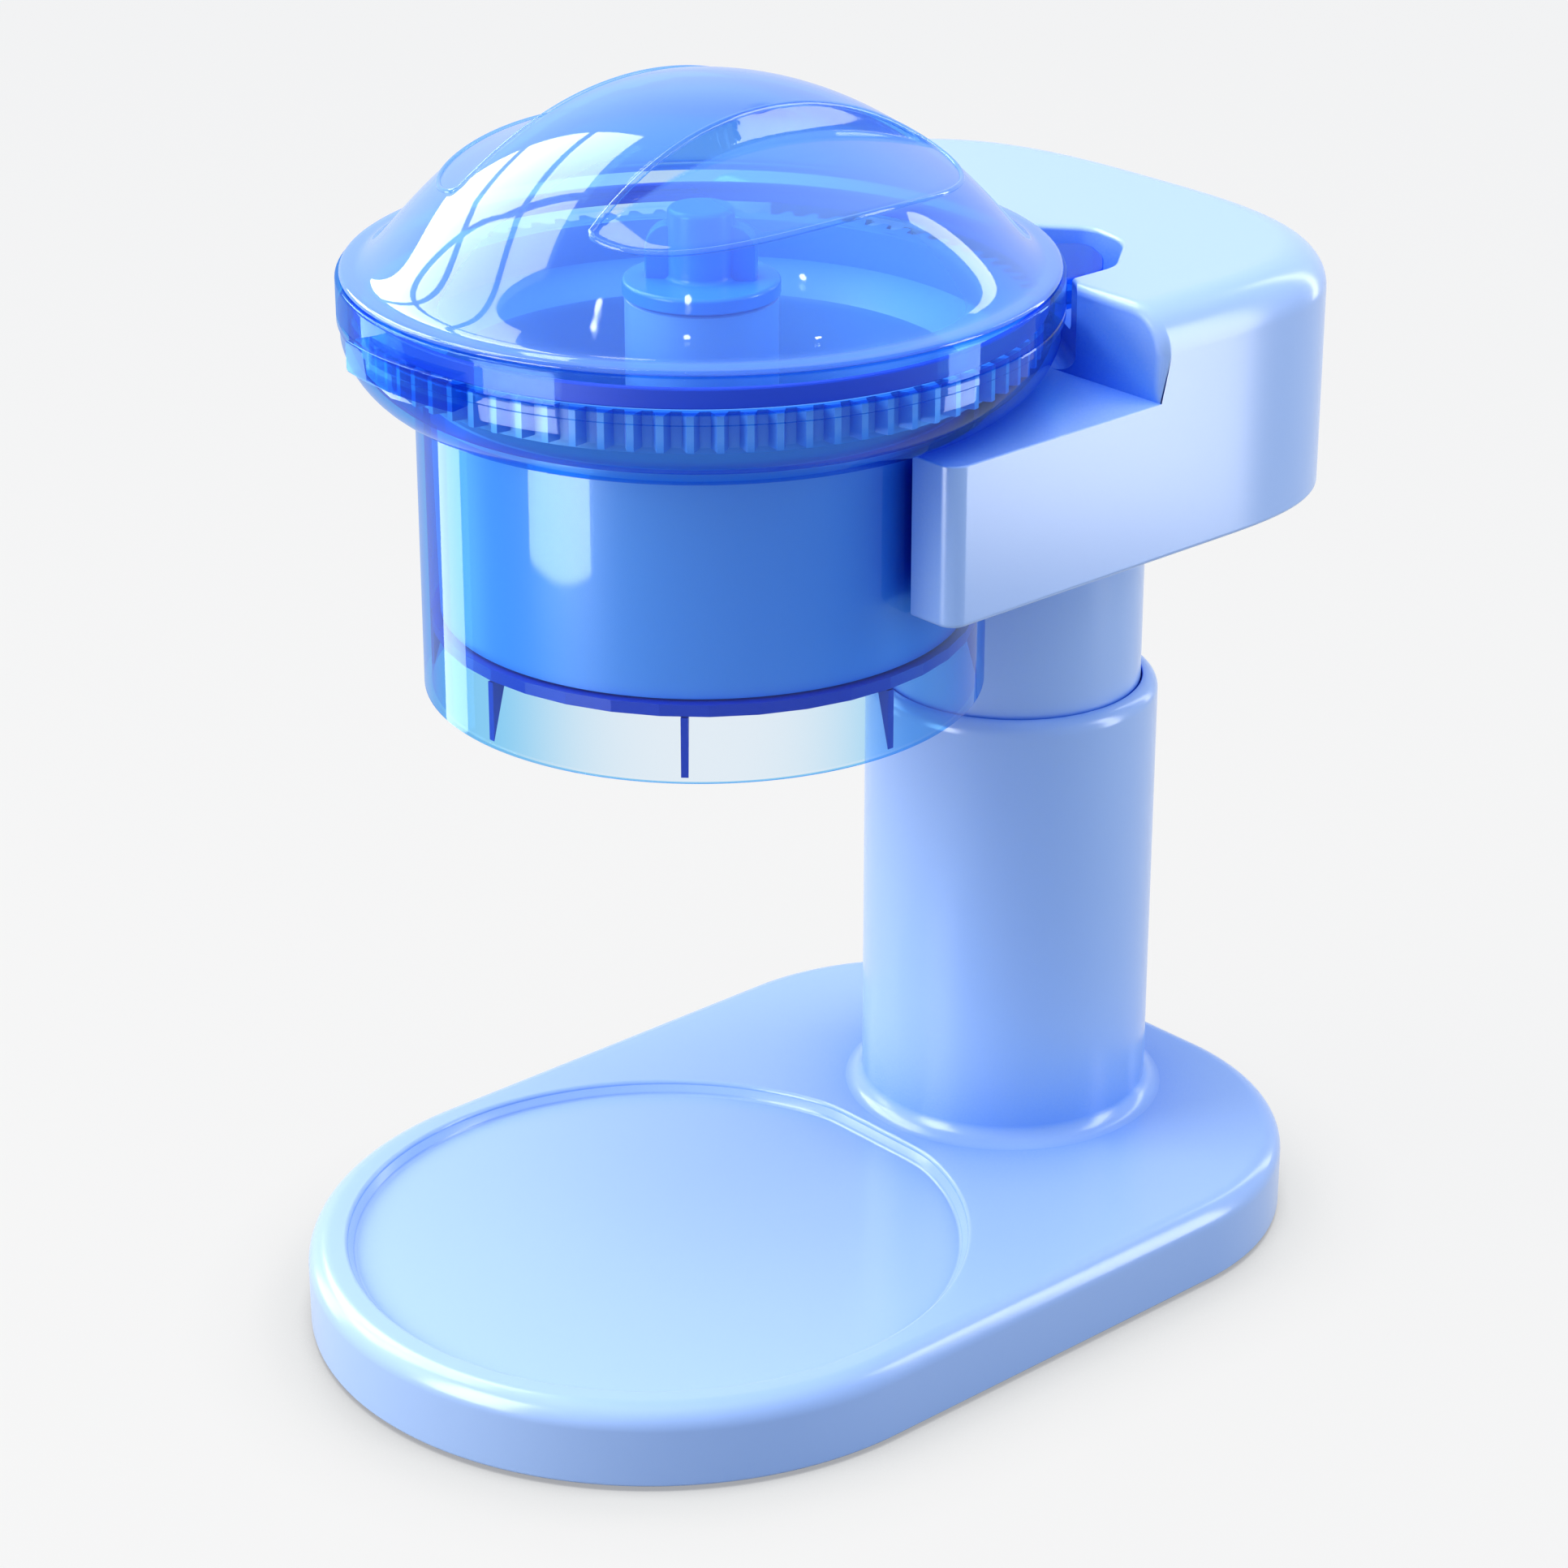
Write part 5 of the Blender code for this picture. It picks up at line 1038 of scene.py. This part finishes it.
class SNOWCONE_OT_pusher(SnowConeMaker, Operator):
    """Build the round post with its three swept paddles"""
    bl_idname = "snow_cone.pusher"
    bl_label = "Ice pusher"

    def execute(self, context):
        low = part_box("ice_pusher")[0][2]
        radius, wall, bore = 0.0187, 0.0024, 0.0064
        bore_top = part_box("blade_floor")[0][2] + 0.0210
        floor = bore_top + wall
        hollow = radius - wall
        profile = [(0.0, floor), (hollow, floor), (hollow, POST_TOP - 0.0004)]
        profile += [(hollow + 0.0004, POST_TOP), (radius - 0.0006, POST_TOP), (radius, POST_TOP - 0.0006)]
        profile += [(radius, low), (bore, low), (bore, bore_top), (0.0, bore_top)]
        post = turned(profile, HOPPER_AXIS, 96)
        paddles = [self.paddle(math.radians(35.0 + 120.0 * i), radius, low) for i in range(3)]
        piece("pusher", carve(post, paddles, "UNION"), "rotor", surface("drum_plastic"), "drum_plastic",
              ["ice_pusher"])
        dress(surface("brass"), "pusher_bush")
        return {"FINISHED"}

    def paddle(self, turn, radius, low):
        """Swept blade that tapers in height towards the drum wall."""
        reach = LINER_RADIUS - LINER_TAPER - LINER_WALL - GAP
        rings = []
        for i in range(17):
            share = i / 16
            out = radius - 0.004 + (reach - radius + 0.004) * share
            swing = turn - 0.42 * share * share
            half = 0.00225 * (1.25 - 0.35 * share)
            high = low + 0.040 * (1.0 - 0.45 * share)
            way, side = compass(swing)
            section = [(-half, low + 0.0001), (half, low + 0.0001), (half, high - 0.0012),
                       (half * 0.6, high - EDGE), (0.0, high), (-half * 0.6, high - EDGE),
                       (-half, high - 0.0012)]
            rings.append([HOPPER_AXIS + way * out + side * s + Vector((0.0, 0.0, z)) for s, z in section])
        return lofted(rings)


class SNOWCONE_OT_knob(SnowConeMaker, Operator):
    """Build the winged knob that lifts the drum out"""
    bl_idname = "snow_cone.knob"
    bl_label = "Lift knob"

    def execute(self, context):
        low = POST_TOP + GAP
        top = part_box("lift_knob")[1][2]
        disc_top = low + 0.0039
        disc, boss, spigot = 0.0193, 0.0082, 0.0160
        profile = [(0.0, top)] + arc((boss - 0.0014, top - 0.0014), 0.0014, 90, 0, 5)
        profile += arc((boss + 0.0012, disc_top + 0.0012), 0.0012, 180, 270, 4)
        profile += arc((disc - 0.0010, disc_top - 0.0010), 0.0010, 90, 0, 4)
        profile += [(disc, low + EDGE), (disc - EDGE, low), (spigot, low), (spigot, low - 0.003),
                    (0.0, low - 0.003)]
        knob = turned(profile, HOPPER_AXIS, 96)
        wings = [self.wing(math.radians(42.0 + 180.0 * i), disc_top, top - 0.004) for i in range(2)]
        piece("knob", carve(knob, wings, "UNION"), "rotor", surface("knob_plastic"), "knob_plastic",
              ["lift_knob"])
        return {"FINISHED"}

    def wing(self, swing, low, high):
        """Upright grip whose edges are all rounded."""
        reach, half, edge = 0.0135, 0.0030, 0.0008
        way, side = compass(swing)
        rings = []
        for across, inset in ((-half, edge), (-half + edge * 0.3, edge * 0.3), (-half + edge, 0.0),
                              (half - edge, 0.0), (half - edge * 0.3, edge * 0.3), (half, edge)):
            corner = 0.006 - inset
            outline = [(0.0, low - 0.001), (reach - inset, low - 0.001)]
            outline += arc((reach - 0.006, high - 0.006), corner, 0, 90, 8)
            outline.append((0.0, high - inset))
            rings.append(standing(outline, way, side * across))
        return lofted(rings)


class SNOWCONE_OT_lid_band(SnowConeMaker, Operator):
    """Build the lid's clear band with its finger tab and key, and the seal inside it"""
    bl_idname = "snow_cone.lid_band"
    bl_label = "Lid band"

    def execute(self, context):
        size = self.sizes(context)
        low, top = RIM_TOP + GAP, LID_BAND_TOP
        inner = RIM_RADIUS - 0.0036
        edge = 0.0008
        profile = arc((RIM_RADIUS - edge, top - edge), edge, 90, 0, 5)
        profile += [(RIM_RADIUS, low + EDGE), (RIM_RADIUS - EDGE, low), (inner, low), (inner, top)]
        band = turned(profile, HOPPER_AXIS, size.turns)
        trim = bar(RIM_RADIUS + GAP, 0.24, low + 0.0008, HOPPER_AXIS, size.turns)
        tab = carve(self.tab(inner), [trim])
        key = carve(carve(self.key(), [self.riser(inner)], "UNION"), [trim])
        band = carve(band, [tab, key], "UNION")
        piece("band", band, "lid", surface("band_plastic"), "clear_plastic", ["lid_band"])
        outer = inner - GAP
        seal_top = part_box("lid_seal")[1][2]
        ribbed = [(outer - EDGE, seal_top), (outer, seal_top - EDGE), (outer, low + EDGE),
                  (outer - EDGE, low), (outer - 0.0016, low), (outer - 0.0019, low + EDGE),
                  (outer - 0.0019, low + 0.0014), (outer - 0.0014, low + 0.0020),
                  (outer - 0.0014, low + 0.0028), (outer - 0.0019, low + 0.0034),
                  (outer - 0.0019, seal_top - EDGE), (outer - 0.0016, seal_top)]
        piece("seal", turned(ribbed, HOPPER_AXIS, size.turns), "lid", surface("seal_rubber"),
              "seal_rubber", ["lid_seal"])
        return {"FINISHED"}

    def tab(self, inner):
        """Finger tab at the front of the band, with rounded ends and top."""
        high, low = TAB_TOP, TAB_TOP - TAB_HEIGHT
        reach = RIM_RADIUS + 0.0060
        rings = []
        for rise, inset in ((low, 0.0008), (low + EDGE, 0.0002), (low + 0.0010, 0.0),
                            (high - 0.0010, 0.0), (high - EDGE, 0.0002), (high, 0.0008)):
            swing = math.degrees(math.radians(12.2) - inset / reach)
            outline = arc((0.0, 0.0), reach - inset, -90 - swing, -90 + swing, 20)
            outline += arc((0.0, 0.0), inner + 0.001, -90 + swing, -90 - swing, 20)
            rings.append(lifted(outline, rise, HOPPER_AXIS))
        return lofted(rings)

    def key(self):
        """Block under the band that presses the interlock."""
        top, low = KEY_TOP, KEY_TOP - KEY_HEIGHT
        return lofted([lifted(key_outline(-0.0006), low, HOPPER_AXIS),
                       lifted(key_outline(0.0), low + 0.0006, HOPPER_AXIS),
                       lifted(key_outline(0.0), top - 0.0010, HOPPER_AXIS),
                       lifted(key_outline(-EDGE), top - EDGE, HOPPER_AXIS),
                       lifted(key_outline(-0.0010), top, HOPPER_AXIS)])

    def riser(self, inner):
        """Web that joins the key to the band."""
        middle = 71.5
        outline = arc((0.0, 0.0), RIM_RADIUS + 0.0028, middle - 8.2, middle + 8.2, 12)
        outline += arc((0.0, 0.0), inner + 0.001, middle + 8.2, middle - 8.2, 12)
        low = KEY_TOP - KEY_HEIGHT + 0.0006
        return lofted([lifted(outline, low, HOPPER_AXIS), lifted(outline, TAB_TOP, HOPPER_AXIS)])


class SNOWCONE_OT_dome(SnowConeMaker, Operator):
    """Build the clear dome with a finger scoop in each side of its grip ridge"""
    bl_idname = "snow_cone.dome"
    bl_label = "Dome"

    def execute(self, context):
        size = self.sizes(context)
        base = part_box("lid_dome")[0][2]
        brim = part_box("lid_dome")[1][0]
        steps = 384
        radii = [0.022 * i / 14 for i in range(1, 15)] + [0.022 + 0.0004 * i for i in range(1, 101)]
        radii += [0.062 + (DOME_RADIUS - 0.062) * i / 26 for i in range(1, 27)]
        bm = bmesh.new()
        outside = self.skin(bm, size, 0.0, steps, radii)
        for radius, height in ((0.0832, SHOULDER - 0.0001), (0.0848, SHOULDER - 0.0003),
                               (brim - 0.0008, SHOULDER - 0.0005), (brim - 0.0002, SHOULDER - 0.0009),
                               (brim, SHOULDER - 0.0014), (brim, base + 0.0002), (brim - 0.0002, base)):
            outside.append(self.ring(bm, radius, steps, lambda x, y, z=height: z))
        inside = self.skin(bm, size, size.dome_wall, steps, radii[1::3])
        self.skin_faces(bm, outside)
        self.skin_faces(bm, inside)
        self.band(bm, outside[-1], inside[-1])
        for side in (-1, 1):
            self.bead(bm, scoop_rim(size.scoop_depth, 240), side)
        piece("dome", mesh_of(bm), "lid", surface("dome_plastic"), "clear_plastic", ["lid_dome"],
              sharp=50.0)
        return {"FINISHED"}

    def ring(self, bm, radius, steps, height):
        """One ring of the dome at a radius, at heights given by a function."""
        ring = []
        for i in range(steps):
            angle = 2 * math.pi * i / steps
            x, y = radius * math.cos(angle), radius * math.sin(angle)
            ring.append(bm.verts.new((HOPPER_AXIS.x + x, HOPPER_AXIS.y + y, height(x, y))))
        return ring

    def skin(self, bm, size, wall, steps, radii):
        """Rings of one skin from its crown to its foot; the first is a single point."""
        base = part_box("lid_dome")[0][2]
        depth = size.scoop_depth
        share = 1.0 if wall == 0.0 else (DOME_RADIUS - 0.0016) / radii[-1]
        top = bm.verts.new((HOPPER_AXIS.x, HOPPER_AXIS.y, SHOULDER + scooped(0.0, 0.0, 0.0, wall, depth)))
        rings = [[top]]
        for radius in radii:
            rings.append(self.ring(bm, radius * share, steps, lambda x, y, r=radius * share: max(
                base, SHOULDER + scooped(x, y, r, wall, depth))))
        if wall > 0.0:
            rings.append(self.ring(bm, DOME_RADIUS - 0.0012, steps, lambda x, y: base))
        return rings

    def bead(self, bm, points, side):
        """A fine rounded bead along the edge of a scoop."""
        origin = Vector((HOPPER_AXIS.x, HOPPER_AXIS.y, SHOULDER - BEAD_SUNK))
        rings = []
        for i, point in enumerate(points):
            along = (points[(i + 1) % len(points)] - points[i - 1]).normalized()
            across = along.cross(Vector((0.0, 0.0, 1.0))).normalized()
            up = across.cross(along)
            ring = []
            for j in range(10):
                turn = math.tau * j / 10
                spot = point + SCOOP_BEAD * (across * math.cos(turn) + up * math.sin(turn))
                ring.append(bm.verts.new(origin + Vector((spot.x * side, spot.y, spot.z))))
            rings.append(ring)
        for here, there in zip(rings, rings[1:] + rings[:1]):
            self.band(bm, here, there)

    def skin_faces(self, bm, rings):
        """Faces of one skin from its crown outwards."""
        crown = rings[0][0]
        first = rings[1]
        for i in range(len(first)):
            bm.faces.new((crown, first[i], first[(i + 1) % len(first)]))
        for here, there in zip(rings[1:], rings[2:]):
            self.band(bm, here, there)

    def band(self, bm, here, there):
        """Faces between two rings."""
        count = len(here)
        for i in range(count):
            j = (i + 1) % count
            bm.faces.new((here[i], here[j], there[j], there[i]))


class SNOWCONE_OT_stage(SnowConeMaker, Operator):
    """Set the floor, the soft lamps, the world and the camera"""
    bl_idname = "snow_cone.stage"
    bl_label = "Studio"

    def execute(self, context):
        scene = context.scene
        colour = scene.snow_cone_colours.backdrop
        self.floor()
        self.world(scene, colour)
        self.lamps()
        camera = bpy.data.cameras.new("camera")
        camera.sensor_width = 36.0
        camera.lens = 99.516
        camera.clip_start = 0.05
        viewer = bpy.data.objects.new("camera", camera)
        viewer.location = (0.75986, -0.68718, 0.58837)
        viewer.rotation_euler = (math.radians(66.157), 0.0, math.radians(47.962))
        scene.collection.objects.link(viewer)
        scene.camera = viewer
        scene.view_settings.view_transform = "Standard"
        return {"FINISHED"}

    def floor(self):
        """A wide round floor that shows as the backdrop and keeps the shadow, partly the lamps' shadow
        and partly a painted contact shadow near the machine.
        """
        ring = [(3.0 * math.cos(math.tau * i / 96), 3.0 * math.sin(math.tau * i / 96), 0.0)
                for i in range(96)]
        bm = bmesh.new()
        bm.faces.new([bm.verts.new(point) for point in ring])
        mesh = bpy.data.meshes.new("floor")
        bm.to_mesh(mesh)
        bm.free()
        item = bpy.data.objects.new("floor", mesh)
        bpy.context.scene.collection.objects.link(item)
        item.visible_shadow = False
        nodes = Nodes(bpy.data.materials.new("floor"))
        paint = nodes.add("BsdfDiffuse")
        paint.inputs["Color"].default_value = (0.37, 0.33, 0.26, 1.0)
        # Painted contact shadow: ambient occlusion darkens the floor's glow close to the machine.
        near = nodes.add("AmbientOcclusion", samples=8)
        near.inputs["Distance"].default_value = 0.035
        glow = nodes.add("Emission")
        nodes.link(nodes.ramp(near.outputs["AO"], [(0.35, (0.42, 0.43, 0.46)), (0.62, (0.86, 0.87, 0.88)),
                                                   (0.97, (1.0, 1.0, 1.0))]), glow.inputs["Color"])
        share = nodes.add("Math", operation="MULTIPLY")
        nodes.link(self.shown(nodes), share.inputs[0])
        share.inputs[1].default_value = 0.87
        mesh.materials.append(nodes.finish(nodes.mixed(
            share.outputs["Value"], paint.outputs["BSDF"], glow.outputs["Emission"])))

    def shown(self, nodes):
        """One for the rays that show the backdrop, nothing for those that light the object."""
        path = nodes.add("LightPath")
        value = path.outputs["Is Camera Ray"]
        for name in ("Is Glossy Ray", "Is Transmission Ray"):
            value = nodes.times(value, path.outputs[name], "MAXIMUM")
        return value

    def world(self, scene, colour):
        """Even studio light, shown to the camera as the backdrop's colour."""
        nodes = Nodes(bpy.data.worlds.new("studio"), "OutputWorld")
        soft = nodes.add("Background")
        soft.inputs["Color"].default_value = (0.27, 0.47, 0.96, 1.0)
        soft.inputs["Strength"].default_value = 0.80
        shown = nodes.add("Background")
        shown.inputs["Color"].default_value = (*colour, 1.0)
        scene.world = nodes.finish(nodes.mixed(
            self.shown(nodes), soft.outputs["Background"], shown.outputs["Background"]))

    def lamps(self):
        """Soft lamps that light the machine, and bright cards that only show in its gloss."""
        target = Vector((0.0, -0.03, 0.18))
        self.lamp("overhead", (1.0, 1.0), self.towards(target, -100, 76, 1.2), target, 8.8, "light")
        self.lamp("key", (0.9, 0.7), self.towards(target, -125, 26, 1.2), target, 10.5, "light")
        self.lamp("rear", (0.7, 0.7), self.towards(target, 52, 20, 1.1), target, 3.3, "light")
        for i, (swing, rise, size) in enumerate(((175, 74, 0.16), (21, 63, 0.03), (-95, 60, 0.03),
                                                 (-49, 67, 0.03))):
            self.lamp(f"round_{i}", (size, 0.0), self.towards(target, swing, rise, 1.1), target,
                      0.5 if i == 0 else 0.07, "gloss")
        self.window(Vector((0.0, -0.06, 0.29)))
        cards = (("left_card", (0.30, 0.62), (-0.08, -0.66, 0.31), (0.0, 0.0, 0.31), 8.0),
                 ("drum_card", (0.14, 0.22), (-0.42, -0.22, 0.11), (0.0, -0.06, 0.20), 0.5),
                 ("right_card", (0.16, 0.62), (0.50, 0.44, 0.31), (0.04, 0.0, 0.31), 3.4),
                 ("back_card", (0.10, 0.90), (0.10, 0.95, 0.52), (0.04, 0.0, 0.30), 2.0))
        for name, size, place, aim, power in cards:
            self.lamp(name, size, Vector(place), Vector(aim), power, "gloss")

    def towards(self, target, swing, rise, reach):
        """Place seen from a target at a compass swing and a rise, both in degrees."""
        swing, rise = math.radians(swing), math.radians(rise)
        return target + reach * Vector((math.cos(swing) * math.cos(rise),
                                        math.sin(swing) * math.cos(rise), math.sin(rise)))

    def window(self, target):
        """Large window in six panes at the left, for the reflection on the dome."""
        middle = self.towards(target, -168, 37, 1.2)
        way = (target - middle).normalized()
        side = way.cross(Vector((0.0, 0.0, 1.0))).normalized()
        up = side.cross(way)
        for i in range(2):
            for j in range(3):
                place = middle + side * (i - 0.5) * 0.54 + up * (j - 1) * 0.33
                self.lamp(f"pane_{i}_{j}", (0.49, 0.29), place, place + way, 4.5, "gloss")

    def lamp(self, name, size, place, target, power, shows="both"):
        """Area lamp that lights, shows in gloss, or both."""
        light = bpy.data.lights.new(name, "AREA")
        light.shape = "RECTANGLE" if size[1] else "DISK"
        light.size = size[0]
        light.size_y = size[1] or size[0]
        light.energy = power
        item = bpy.data.objects.new(name, light)
        item.location = place
        item.rotation_euler = (target - place).to_track_quat("-Z", "Y").to_euler()
        item.visible_diffuse = shows != "gloss"
        item.visible_glossy = shows != "light"
        bpy.context.scene.collection.objects.link(item)


STEPS = (SNOWCONE_OT_base, SNOWCONE_OT_underside, SNOWCONE_OT_column, SNOWCONE_OT_head,
         SNOWCONE_OT_drive, SNOWCONE_OT_hopper, SNOWCONE_OT_blade_floor, SNOWCONE_OT_drum,
         SNOWCONE_OT_pusher, SNOWCONE_OT_knob, SNOWCONE_OT_lid_band, SNOWCONE_OT_dome,
         SNOWCONE_OT_stage)


class SNOWCONE_PT_panel(Panel):
    """Lists the steps that dress the machine"""
    bl_label = "Snow Cone Machine"
    bl_idname = "SNOWCONE_PT_panel"
    bl_space_type = "VIEW_3D"
    bl_region_type = "UI"
    bl_category = "Snow Cone"

    def draw(self, context):
        for group in (context.scene.snow_cone_sizes, context.scene.snow_cone_colours):
            column = self.layout.column(align=True)
            for name in group.__annotations__:
                column.prop(group, name)
        for step in STEPS:
            self.layout.operator(step.bl_idname)


CLASSES = (SnowConeSizes, SnowConeColours) + STEPS + (SNOWCONE_PT_panel,)


def register():
    for kind in CLASSES:
        bpy.utils.register_class(kind)
    bpy.types.Scene.snow_cone_sizes = PointerProperty(type=SnowConeSizes)
    bpy.types.Scene.snow_cone_colours = PointerProperty(type=SnowConeColours)


def unregister():
    del bpy.types.Scene.snow_cone_sizes
    del bpy.types.Scene.snow_cone_colours
    for kind in reversed(CLASSES):
        bpy.utils.unregister_class(kind)


def main():
    register()
    for step in STEPS:
        name = step.bl_idname.split(".")[1]
        getattr(bpy.ops.snow_cone, name)()


if __name__ == "__main__":
    main()
